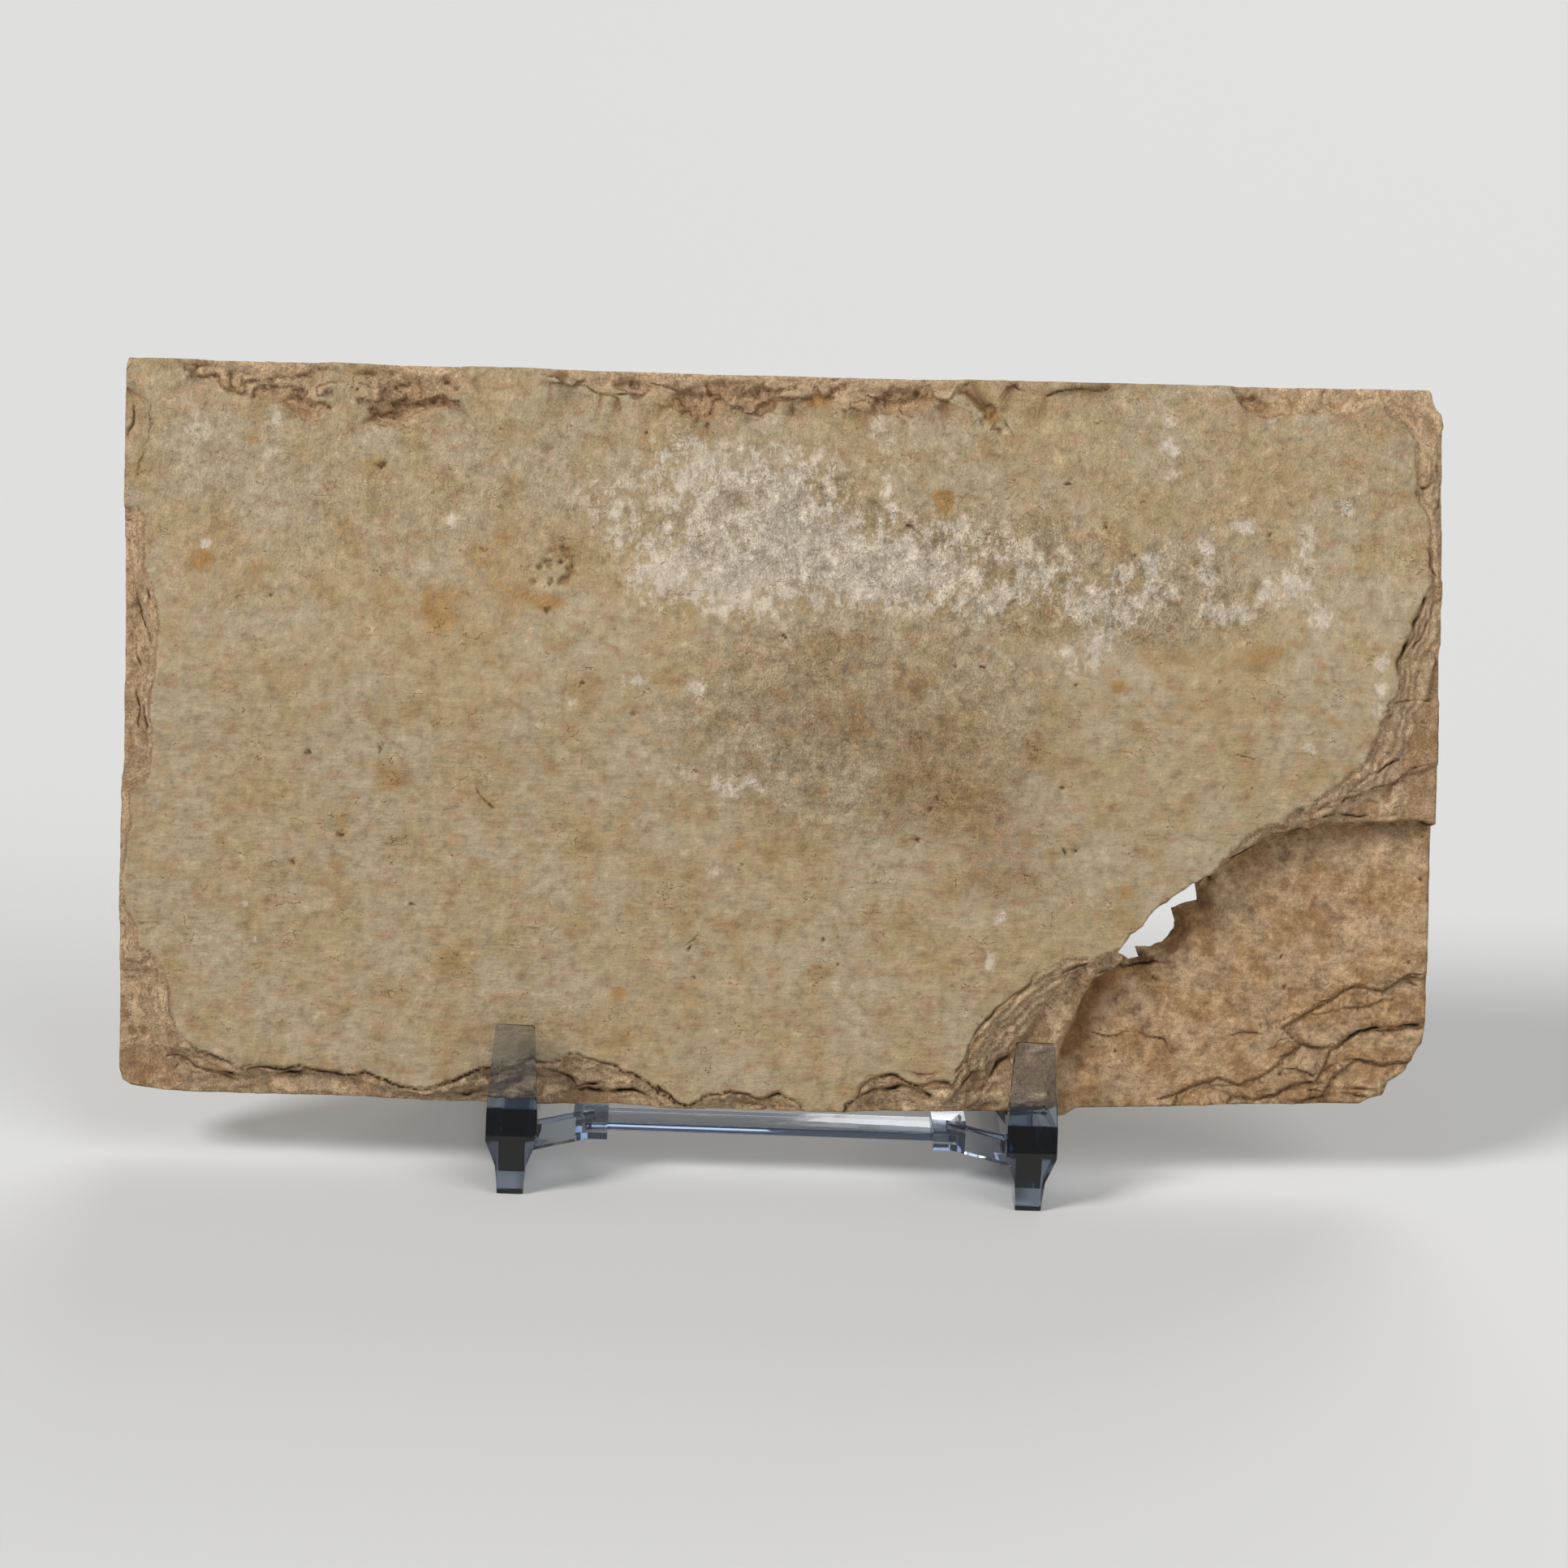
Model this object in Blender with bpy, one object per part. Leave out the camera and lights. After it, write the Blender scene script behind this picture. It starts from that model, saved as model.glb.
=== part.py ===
"""Fossil plate on a clear easel.

A sawn plate of laminated limestone leans back on a three-piece clear plastic easel, with its plain,
spalled side to the front. A fossil fish lies in low relief on its rear face.

Sizes are in millimetres and go into Blender in metres. X runs to the right, Y to the back, Z up, and the
floor is Z = 0. The plate has a frame of its own: u along its width, v up its face, w into its thickness.
"""
import math

import bmesh
import bpy
from mathutils import Matrix, Vector

MM = 0.001

# Plate: a common size for a sawn fossil plate, twelve inches wide
PLATE_WIDTH = 305.0
PLATE_DEPTH = 16.0
LEAN_DEG = 15.0
ROLL_DEG = 1.0

# Depths of the broken levels behind the face
FACE_SHEET = 2.0
SECOND_SHEET = 4.2
SPALL = 3.4
CORNER_FLOOR = 9.5
CORNER_STEPS = (10.3, 11.3, 12.4)
HOLE_RIM = 13.2
REAR_FOOT_FRONT = 8.0
REAR_FOOT_BACK = 15.0
PIT_SINK = 0.15
CUT_PAST = 3.0

# The sawn right side: where its lean starts, and how far it leans in at the top of the face
RIGHT_LEAN_V = (60.0, 160.0)
RIGHT_LEAN = 2.1

# Easel, in its own side view
SIDE_SPACING = 119.2
EASEL_DEPTH = 92.0
SHELF_FRONT_HEIGHT = 19.1
SHELF_THICKNESS = 5.8
LIP_HEIGHT = 19.6
LIP_BASE_THICKNESS = 3.2
LIP_TOP_THICKNESS = 2.4
LIP_TOP_WIDTH = 9.0
LIP_BASE_WIDTH = 11.6
FRAME_WIDTH = 6.0
FRAME_THICKNESS = 5.0
UPRIGHT_HEIGHT = 108.0
GAP_BELOW_TOP = 22.0
FOOT_DEPTH = 6.0
RAIL_LOW = 3.0
RAIL_HIGH = 8.5
CROSSBAR_THICKNESS = 2.0
CROSSBAR_DEPTH = 10.0
CROSSBAR_LOW = 10.5
SOCKET_INNER_X = 38.0
SOCKET_LENGTH = 8.0
SOCKET_SETBACK = 12.6
SOCKET_WALL = 1.6
SOCKET_ROOF = 1.1
SOCKET_END = 1.5
ARM_LOW = 9.2
ARM_HIGH = 15.2
ARM_SETBACK = 2.6
ARM_DEPTH = 3.8
ARM_END_DEPTH = 3.0
BODY_ROUNDING = 0.55
FRAME_ROUNDING = 0.6
GAP_ROUNDING = 1.2
OVERLAP = 3.0

# Half widths of a side piece's front, from the foot up to the shelf
FOOT_WIDTHS = [(2.8, -2), (3.5, 7), (4.9, 10.6), (5.8, 13), (5.8, 19.5)]

# Clearances
TOUCH = 0.3
REAR_GAP = 0.75
LIP_GAP = 4.5
REST_V = -3.6
PLATE_SHIFT = 1.45

# Fish: snout and backbone level in the plate's frame, and its relief
FISH_SNOUT_U = 23.0
FISH_AXIS_V = 91.0
FISH_FILM = 0.5
BONE_HEIGHT = 2.0
VERTEBRAE = 40
TRUNK_VERTEBRAE = 18

LEAN = math.radians(LEAN_DEG)
ROLL = math.radians(ROLL_DEG)
UP_FACE = Vector((0, math.sin(LEAN), math.cos(LEAN)))
INTO_PLATE = Vector((0, math.cos(LEAN), -math.sin(LEAN)))
LIP_CORNER = Vector((
    0,
    SHELF_THICKNESS * math.sin(LEAN) + LIP_BASE_THICKNESS * math.cos(LEAN) - EASEL_DEPTH / 2,
    SHELF_FRONT_HEIGHT))
PLATE_ORIGIN = LIP_CORNER + LIP_GAP * INTO_PLATE + (TOUCH - REST_V) * UP_FACE + Vector((PLATE_SHIFT, 0, 0))
UPRIGHT_FACE = LIP_GAP + PLATE_DEPTH + BONE_HEIGHT + REAR_GAP


def start_scene():
    for item in list(bpy.data.objects):
        bpy.data.objects.remove(item, do_unlink=True)
    for name in ("fossil plate on easel", "cutters"):
        group = bpy.data.collections.new(name)
        bpy.context.scene.collection.children.link(group)


def link(item, cutter=False):
    name = "cutters" if cutter else "fossil plate on easel"
    bpy.data.collections[name].objects.link(item)
    if cutter:
        item.hide_render = True
        item.display_type = "WIRE"
    return item


def material(name, colour, roughness, alpha=1.0):
    finish = bpy.data.materials.new(name)
    finish.use_nodes = True
    shader = finish.node_tree.nodes["Principled BSDF"]
    shader.inputs["Base Color"].default_value = (*colour, 1.0)
    shader.inputs["Roughness"].default_value = roughness
    shader.inputs["Metallic"].default_value = 0.0
    shader.inputs["Alpha"].default_value = alpha
    finish.diffuse_color = (*colour, alpha)
    return finish


def outline_solid(name, loops, low, high, place, cutter=False):
    """A flat outline, with holes where loops lie inside one another, given thickness along local Z."""
    curve = bpy.data.curves.new(name, "CURVE")
    curve.dimensions = "2D"
    curve.fill_mode = "BOTH"
    curve.extrude = (high - low) / 2 * MM
    for loop in loops:
        spline = curve.splines.new("POLY")
        spline.points.add(len(loop) - 1)
        for point, (x, y) in zip(spline.points, loop):
            point.co = (x * MM, y * MM, 0, 1)
        spline.use_cyclic_u = True
    drawn = bpy.data.objects.new(name + "_outline", curve)
    bpy.context.scene.collection.objects.link(drawn)
    bpy.context.view_layer.update()
    evaluated = drawn.evaluated_get(bpy.context.evaluated_depsgraph_get())
    mesh = bpy.data.meshes.new_from_object(evaluated)
    bpy.data.objects.remove(drawn, do_unlink=True)
    bpy.data.curves.remove(curve)
    form = bmesh.new()
    form.from_mesh(mesh)
    bmesh.ops.remove_doubles(form, verts=form.verts, dist=1e-6)
    bmesh.ops.translate(form, verts=form.verts, vec=(0, 0, (low + high) / 2 * MM))
    bmesh.ops.recalc_face_normals(form, faces=form.faces)
    form.to_mesh(mesh)
    form.free()
    mesh.name = name
    solid = bpy.data.objects.new(name, mesh)
    solid.matrix_world = place
    return link(solid, cutter)


def combine(target, other, operation):
    step = target.modifiers.new(operation.lower() + "_" + other.name, "BOOLEAN")
    step.operation = operation
    step.solver = "EXACT"
    step.object = other
    return step


def rounded(corners, radius, steps=3):
    """A closed outline with each corner turned into an arc of the given radius."""
    points = []
    count = len(corners)
    for index, corner in enumerate(corners):
        here = Vector(corner)
        before = (Vector(corners[index - 1]) - here).normalized()
        after = (Vector(corners[(index + 1) % count]) - here).normalized()
        half = before.angle(after) / 2
        reach = radius / math.tan(half)
        centre = here + (before + after).normalized() * radius / math.sin(half)
        start = here + before * reach - centre
        finish = here + after * reach - centre
        turn = start.angle_signed(finish)
        for step in range(steps + 1):
            angle = -turn * step / steps
            points.append((
                centre.x + start.x * math.cos(angle) - start.y * math.sin(angle),
                centre.y + start.x * math.sin(angle) + start.y * math.cos(angle)))
    return points


def rectangle(x0, x1, y0, y1):
    return [(x0, y0), (x1, y0), (x1, y1), (x0, y1)]


def plate_place():
    """From the plate's frame (u from its middle, v up, Z towards the viewer) to the world."""
    turn = Matrix.Rotation(math.pi / 2 - LEAN, 4, "X") @ Matrix.Rotation(ROLL, 4, "Z")
    return Matrix.Translation(PLATE_ORIGIN * MM) @ turn


def in_plate(loop):
    return [(u - PLATE_WIDTH / 2, v) for u, v in loop]


# Outlines of the plate, traced in its own frame: u from the left edge, v from the bottom edge

SAWN_EDGE = [
    (0.9, 166.9), (0.3, 165.6), (0.2, 120), (0.5, 80), (0.3, 40), (0.3, 4), (1, 1.5), (3, 0.2),
    (6, -0.2), (11, -0.8), (20, -1.2), (50, -1.3), (70, -2), (97, -2.6), (115, -2.3), (125, -2.8),
    (145, -2.9), (180, -2.9), (200, -2.6), (225, -2.1), (240, -1.7), (260, -1), (285, -0.5),
    (290, -0.5), (293, 1), (295.5, 1.6), (296.3, 3.5), (297, 4.8), (300.5, 7), (302, 10),
    (303, 12), (304.6, 14.2), (305, 17), (304.8, 60), (305.2, 110), (305.2, 159), (304.6, 161.4),
    (303, 162.8), (301.6, 164.5), (301, 166.1), (300, 166.9), (260, 166.6), (140, 166.5), (40, 166.9)]

# The pale sheet in front. Where it reaches a sawn edge, its outline runs on past that edge.
FACE_OUTLINE = [
    (-3, 133.5), (3.5, 133), (4.8, 131), (5, 128), (5.8, 120), (6.3, 116.5), (7.6, 113), (8.8, 110.5),
    (8.9, 106), (8.3, 101), (7.2, 87), (7.8, 78), (6.8, 71.5), (5.5, 70), (3.5, 69.3), (2, 68),
    (2.8, 65), (3, 60), (1.3, 48), (1, 45), (2.5, 42), (5, 37), (5.5, 32), (8, 31), (10.5, 29),
    (12.3, 22), (12.8, 18), (14.5, 14.8), (16.5, 11.5), (19, 9.2), (28, 5.3), (39, 4.8), (42, 5.8),
    (45, 5), (49, 5), (52, 4.2), (57.5, 5.2), (60, 3.8), (64, 2.2), (71, 0.8), (75, 2), (79, 3.5),
    (82, 5.2), (84, 6), (92, 7.6), (102, 8.4), (103.5, 9.3), (106, 9.5), (107.5, 8.6), (114.5, 7.8),
    (116, 6.8), (120, 5.2), (123, 3.2), (127, 0.6), (129, -0.8), (132, -1.5), (135, 0.3), (141, 2),
    (144, 1.5), (148, 0.5), (153, 1.6), (157.5, -0.5), (160, -6), (166, -6), (167.5, -1.2),
    (169.5, 0.5), (171, 3), (173, 5.3), (178, 5.8), (181, 5), (183, 4.2), (192.5, 3.8), (194, 7),
    (196.5, 13), (200, 19.5), (201, 21), (205, 22.5), (207, 25), (210, 28), (212, 30.5), (218, 33.3),
    (225, 34.3), (231, 36.5), (233, 39.5), (236, 41), (238, 44.5), (241, 47), (245, 50), (252.5, 54),
    (254.2, 57), (258, 61.5), (260, 63.3), (265, 65.3), (268.5, 65.8), (271, 69.5), (274.5, 70.3),
    (276, 72.3), (281.5, 76), (284, 78.3), (285.5, 78.3), (287, 81), (290, 89), (291.5, 92.5),
    (291, 94.5), (293.5, 96.5), (293.8, 101), (294.5, 105), (296.5, 109), (298.3, 117), (300, 120.5),
    (301.5, 123), (300.8, 130), (299.5, 138), (297.5, 141), (297.3, 146), (296, 155), (295.3, 157),
    (292, 159.5), (290, 161), (289, 163), (286, 162.3), (282, 160.5), (279, 160), (276, 161),
    (265, 160), (263, 158.3), (259, 159.2), (257, 160.8), (254, 164.5), (252, 170), (195, 170),
    (193, 166), (188.5, 162.1), (185, 160.3), (180, 159), (176, 156.5), (173.5, 157), (169, 159.8),
    (162, 159.8), (157, 160.8), (155, 162.2), (152, 161.9), (147.5, 159.3), (145.5, 157.5), (139, 159.5),
    (137.5, 159.8), (134, 156), (131.5, 155.5), (126, 157.2), (122, 160.5), (114, 161.3),
    (107.5, 161.8), (105, 163), (94.5, 164.8), (92, 170), (79, 170), (78.5, 164), (76.5, 162),
    (74, 157), (71, 155.5), (66, 155), (60, 152.7), (57, 153), (54.8, 154.5), (53.8, 157), (54.5, 159),
    (54, 170), (48, 170), (47.5, 163), (44, 158), (45, 156), (44.5, 153), (41, 152.8), (36, 155.3),
    (31.5, 158), (29, 159.2), (20, 159.5), (15, 161), (13.5, 170), (-3, 170)]

# The sheet behind it, which shows as a narrow terrace on the left, at the foot and on the right
SECOND_OUTLINE = [
    (-6, 128), (1.6, 126), (3, 118), (4.8, 112), (5, 105), (4.2, 97), (4.8, 86), (4, 76), (2, 72.5),
    (-6, 71), (-6, 40), (1.8, 38), (2.6, 33), (5, 28), (6.8, 21), (7.4, 15), (9, 10), (12, 7.3),
    (16.5, 6.6), (20, 4.2), (25, 3.3), (31, 4.4), (36, 3), (42, 3.8), (51, 4.4), (57, 2.4), (62, 0.6),
    (70, -0.7), (80, 0), (88, 1.5), (96, 5.5), (99, 6.4), (103, 4.5), (106, 1.4), (118, 1.5),
    (123.5, -1), (126, -8), (134, -8), (136, -1), (140, 0), (152, -1.5), (154, -8), (168.5, -8),
    (170, -0.2), (175, 2), (183, 3.3), (187, 1.3), (192, 0.6), (195, 3.5), (197, 6.5), (200, 7.2),
    (202, 9.5), (206, 11), (208, 14), (210, 18), (214.5, 24), (220, 30), (224.5, 33), (231, 36),
    (241, 46.4), (252, 53.2), (255.2, 57.5), (266, 64), (272, 66), (277, 67.3), (281.5, 70.5),
    (285, 72.8), (293, 75.2), (297, 77.8), (304, 80.5), (312, 81), (312, 94), (302, 95), (302.4, 100),
    (303, 104), (304.5, 108.5), (312, 109), (312, 121), (304, 122), (302.5, 128), (303, 133),
    (302, 137.5), (303.4, 144), (302, 146), (303, 154), (303.4, 158), (312, 160), (312, 174),
    (-6, 174)]

# Deeper spalls in the brown strip under the top edge
TOP_SPALLS = [
    [(57, 155), (61, 154.2), (67, 156.4), (72.5, 157), (74.5, 159.6), (72, 161), (66, 159.4),
     (60, 158.6)],
    [(124, 159.6), (127, 158), (131.5, 156.6), (134, 157.2), (137, 160.6), (134, 162.4), (127, 162.2)],
    [(170, 160.4), (174, 158), (177, 157.8), (181, 160), (186, 161.6), (182, 163.6), (175, 161.6),
     (171, 163)],
    [(34, 157.6), (38, 155.6), (42, 154.4), (43.4, 156), (42, 159.2), (37, 160.4)]]

# The lower right corner, where the sheets in front have split away down to a flat floor
CORNER_OUTLINE = [
    (214, -8), (215, 2), (217.5, 12), (219.5, 17), (222, 24), (225, 29.6), (230, 31), (233, 35.6),
    (238, 43.2), (243.6, 47.4), (250, 51.4), (255.5, 56.8), (259, 59), (267, 62.8), (272, 64.3),
    (279, 66), (287, 65.8), (299, 67.2), (303, 65.8), (312, 66), (312, -8)]

# Thin sheets that step down towards the broken corner, each with its own ragged edge
CORNER_TERRACES = [
    [(243, -8), (246, 1.2), (256, 5.6), (262, 4.4), (268, 7), (271, 10.6), (275, 13.5), (270, 17),
     (276, 21), (282, 24.6), (288, 28), (294, 27), (299, 30), (312, 31), (312, -8)],
    [(256, -8), (259, 1.8), (264, 1), (270, 1.3), (274, 5), (279.4, 5.2), (282, 12.5), (286, 15),
     (290, 17), (302, 18), (312, 18.4), (312, -8)],
    [(266, -8), (275, 0.5), (281, 2), (284, 6), (288, 10), (295, 9.2), (301, 9.5), (312, 9.6),
     (312, -8)]]

HOLE_OUTLINE = [
    (252, 53.7), (250.4, 51), (251, 47), (248, 46), (245, 45), (246, 42), (245.7, 40), (243, 36.8),
    (239.5, 35.5), (236.8, 35.3), (237.5, 33.2), (235.3, 32.3), (233.5, 33.7), (231, 34.3),
    (230.6, 35.5), (233, 39.3), (235.8, 41.5), (238.3, 44.8), (245, 50), (250.3, 53.4)]

RIM_OUTLINE = [
    (256, 56.6), (254.6, 52), (253.4, 48.4), (250, 44.2), (247.8, 41), (246, 36.6), (241, 33),
    (236, 30.8), (230, 32), (229, 35), (236, 43), (245, 51), (252, 54.8)]

# The foot of the rear sheet hangs lower here and carries the plate on the right shelf
REAR_FOOT = [(203, -1), (205, -4), (208, -4.6), (216, -4.6), (220, -4.1), (223, -1)]

# Dark pits on the face: place and radius
PITS = [(67, 43, 1.1), (58.5, 143.5, 1.4), (43, 78, 1.0), (216.6, 143.2, 1.5), (119, 152.6, 0.9),
        (101, 124.6, 1.9), (105.4, 121, 1.6), (98.6, 118.4, 1.5), (261.4, 80, 1.2), (179.6, 132.6, 1.5),
        (132, 27.4, 1.0), (181.6, 41.8, 1.2)]

# The fish in its own frame: x from the snout towards the tail, y from the backbone's level
FISH_SILHOUETTE = [
    (0, 12), (3, 15.5), (10, 18.5), (22, 23.5), (36, 29), (50, 33.5), (64, 36.6), (78, 38), (94, 37.4),
    (99, 43), (105, 54), (108.5, 60), (114, 54), (119, 46), (125, 38.5), (129, 33.5), (140, 30),
    (155, 25), (170, 19.8), (184, 15.2), (196, 11.8), (204, 10.6), (209, 13.5), (218, 23), (229, 35),
    (240, 45), (251, 52), (250.5, 46), (244, 35), (236, 22), (229, 10), (224.5, 1), (228, -8),
    (235, -19), (243, -31), (249, -41), (251, -47.5), (240, -40.5), (228, -30.5), (217, -20.5),
    (209, -13), (204, -10.4), (198, -10.8), (196, -15), (188, -19.5), (176, -25.5), (163, -32.5),
    (150, -40), (140, -47), (132, -54.5), (128.5, -57), (124.5, -52), (121, -44.5), (112, -46.6),
    (105, -48.2), (107, -56), (108.5, -61), (101, -57), (96, -50.5), (86, -51), (72, -50.4),
    (58, -47.6), (44, -42.6), (32, -35.8), (21, -26.6), (12, -15.6), (5.5, -4), (1.5, 5)]

SKULL_PLATES = [
    ("roof", [(3.5, 13.8), (10, 17), (22, 21.6), (36, 27), (50, 31), (56, 31.6), (57, 22), (46, 19.5),
              (34, 17.5), (23, 15.5), (12, 13)], 1.6),
    ("gill_cover", [(43, 16), (52, 17.5), (59, 10), (61, -4), (58, -20), (51, -31), (43, -29),
                    (41, -14), (40, 2)], 1.9),
    ("cheek", [(33, 13.5), (39, 13), (38, 0), (39.5, -15), (41, -29), (33, -29), (23, -20), (27, -14),
               (32, -5)], 1.5),
    ("upper_jaw", [(1.6, 11.4), (6, 13.6), (10, 6), (15, -2), (21, -9), (18, -12.5), (10.5, -4.5),
                   (4.6, 4)], 1.75),
    ("lower_jaw", [(0.6, 11.4), (3.4, 7), (9, -4), (16.6, -13.4), (26, -22), (22, -25), (13, -15),
                   (6.2, -4)], 1.4)]


def along(outline, x):
    """The height of an open outline, ordered by x, at one x."""
    for (x0, y0), (x1, y1) in zip(outline, outline[1:]):
        if x0 <= x <= x1:
            return y0 + (y1 - y0) * (x - x0) / (x1 - x0)
    return outline[0][1] if x < outline[0][0] else outline[-1][1]


BACK_LINE = [(0, 12), (22, 23.5), (50, 33.5), (78, 38), (97, 37.2), (124, 35), (155, 25), (184, 15.2),
             (209, 10)]
BELLY_LINE = [(5.5, -4), (21, -26.6), (44, -42.6), (72, -50.4), (96, -50.5), (122, -43.5), (150, -30),
              (180, -16), (198, -10.5), (209, -9)]


def backbone(share):
    """The backbone's course from the skull to the tail, with a slight arch."""
    x = 59 + share * 147
    return Vector((x, 8.5 - 8 * share + 2.2 * math.sin(math.pi * share)))


def box(form, centre, size, angle=0.0, tip=1.0):
    """One box lying on the plate's rear face: x, y and depth in millimetres, tapered to its far end."""
    turn = Matrix.Translation(Vector(centre) * MM) @ Matrix.Rotation(angle, 4, "Z")
    made = bmesh.ops.create_cube(form, size=1.0)["verts"]
    for vert in made:
        narrow = tip if vert.co.x > 0 else 1.0
        sized = Vector((vert.co.x * size[0], vert.co.y * size[1] * narrow, vert.co.z * size[2]))
        vert.co = turn @ (sized * MM)


def bone(form, start, finish, width, height, tip=0.55):
    """A straight piece of bone between two points of the fish's frame."""
    start = Vector((start[0], start[1]))
    finish = Vector((finish[0], finish[1]))
    run = finish - start
    middle = (start + finish) / 2
    low = TOUCH + 0.2
    centre = (
        middle.x + FISH_SNOUT_U - PLATE_WIDTH / 2,
        middle.y + FISH_AXIS_V,
        -PLATE_DEPTH - (low + height) / 2)
    box(form, centre, (run.length, width, height - low), math.atan2(run.y, run.x), tip)


def make_slab(stone):
    place = plate_place()
    slab = outline_solid("slab", [in_plate(SAWN_EDGE)], -PLATE_DEPTH, 0, place)
    slab.data.materials.append(stone)
    foot = outline_solid(
        "rear_foot", [in_plate(REAR_FOOT)], -REAR_FOOT_BACK, -REAR_FOOT_FRONT, place, cutter=True)
    combine(slab, foot, "UNION")

    frame = [(-20, -20), (PLATE_WIDTH + 20, -20), (PLATE_WIDTH + 20, 190), (-20, 190)]
    for name, outline, depth in (
            ("face_edge", FACE_OUTLINE, FACE_SHEET), ("second_edge", SECOND_OUTLINE, SECOND_SHEET)):
        loops = [in_plate(frame), in_plate(outline)]
        ring = outline_solid(name, loops, -depth, CUT_PAST, place, cutter=True)
        combine(slab, ring, "DIFFERENCE")

    cuts = [("top_spall", outline, SPALL) for outline in TOP_SPALLS]
    cuts += [("corner_floor", CORNER_OUTLINE, CORNER_FLOOR)]
    cuts += [("corner_terrace", outline, depth) for outline, depth in zip(CORNER_TERRACES, CORNER_STEPS)]
    cuts += [("hole_rim", RIM_OUTLINE, HOLE_RIM), ("hole", HOLE_OUTLINE, PLATE_DEPTH + CUT_PAST)]
    for name, outline, depth in cuts:
        cutter = outline_solid(name, [in_plate(outline)], -depth, CUT_PAST, place, cutter=True)
        combine(slab, cutter, "DIFFERENCE")
    combine(slab, right_edge_wedge(place), "DIFFERENCE")
    combine(slab, pits(place), "DIFFERENCE")
    return slab


def right_edge_wedge(place):
    """What the sawn right side lacks, because it leans in towards the top of the face."""
    side = PLATE_WIDTH / 2
    low, high = RIGHT_LEAN_V
    corners = [Vector((side, low, 0)), Vector((side - RIGHT_LEAN, high, 0)),
               Vector((side, high, -PLATE_DEPTH))]
    corners = [corner * MM for corner in corners]
    upward = (corners[1] - corners[0]).normalized()
    outward = upward.cross(corners[2] - corners[0]).normalized()
    if outward.x < 0:
        outward = -outward
    inward = outward.cross(upward)
    form = bmesh.new()
    bmesh.ops.create_cube(form, size=1.0)
    bmesh.ops.scale(form, vec=(0.02, 0.4, 0.1), verts=form.verts)
    bmesh.ops.translate(form, vec=(0.01, 0, 0), verts=form.verts)
    axes = Matrix((outward, upward, inward)).transposed().to_4x4()
    bmesh.ops.transform(form, matrix=Matrix.Translation(corners[1]) @ axes, verts=form.verts)
    bmesh.ops.recalc_face_normals(form, faces=form.faces)
    mesh = bpy.data.meshes.new("right_edge_wedge")
    form.to_mesh(mesh)
    form.free()
    wedge = bpy.data.objects.new("right_edge_wedge", mesh)
    wedge.matrix_world = place
    return link(wedge, cutter=True)


def pits(place):
    """Small hollows in the face, cut with half-sunk low spheres."""
    form = bmesh.new()
    for u, v, radius in PITS:
        where = Matrix.Translation(Vector((u - PLATE_WIDTH / 2, v, PIT_SINK * radius)) * MM)
        bmesh.ops.create_icosphere(form, subdivisions=1, radius=radius * MM, matrix=where)
    mesh = bpy.data.meshes.new("pits")
    form.to_mesh(mesh)
    form.free()
    hollows = bpy.data.objects.new("pits", mesh)
    hollows.matrix_world = place
    return link(hollows, cutter=True)


def make_fish(finish):
    place = plate_place()
    silhouette = [(x + FISH_SNOUT_U, y + FISH_AXIS_V) for x, y in FISH_SILHOUETTE]
    top = -PLATE_DEPTH - TOUCH
    fish = outline_solid("fish", [in_plate(silhouette)], top - FISH_FILM, top, place)
    fish.data.materials.append(finish)
    for name, plate, height in SKULL_PLATES:
        drawn = [(x + FISH_SNOUT_U, y + FISH_AXIS_V) for x, y in plate]
        piece = outline_solid(name, [in_plate(drawn)], -PLATE_DEPTH - height, top - 0.2, place, cutter=True)
        combine(fish, piece, "UNION")
    form = bmesh.new()
    fish_backbone(form)
    fish_fins(form)
    mesh = bpy.data.meshes.new("skeleton")
    form.to_mesh(mesh)
    form.free()
    skeleton = bpy.data.objects.new("skeleton", mesh)
    skeleton.matrix_world = place
    link(skeleton, cutter=True)
    combine(fish, skeleton, "UNION").use_self = True
    return fish


def fish_backbone(form):
    """Vertebrae in a row, each with the spine above it and the rib or spine below it."""
    for index in range(VERTEBRAE):
        share = index / (VERTEBRAE - 1)
        here = backbone(share)
        size = 3.4 - 1.4 * share
        lift = 0.01 * (index % 5)
        bone(form, here - Vector((1.5, 0)), here + Vector((1.5, 0)), size, BONE_HEIGHT - lift, tip=0.9)
        if index % 2 or index > VERTEBRAE - 3:
            continue
        back = here.x + 9 - 3 * share
        bone(form, here, (back, along(BACK_LINE, back) - 4), 1.0, 1.36 + lift)
        if index < TRUNK_VERTEBRAE:
            knee = (here.x + 3, here.y - 24 + 6 * share)
            belly = here.x + 10
            bone(form, here, knee, 1.2, 1.51 + lift, tip=0.9)
            bone(form, knee, (belly, along(BELLY_LINE, belly) + 5), 1.1, 1.46 + lift)
        else:
            back = here.x + 8 - 3 * share
            bone(form, here, (back, along(BELLY_LINE, back) + 4), 1.0, 1.41 + lift)


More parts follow.
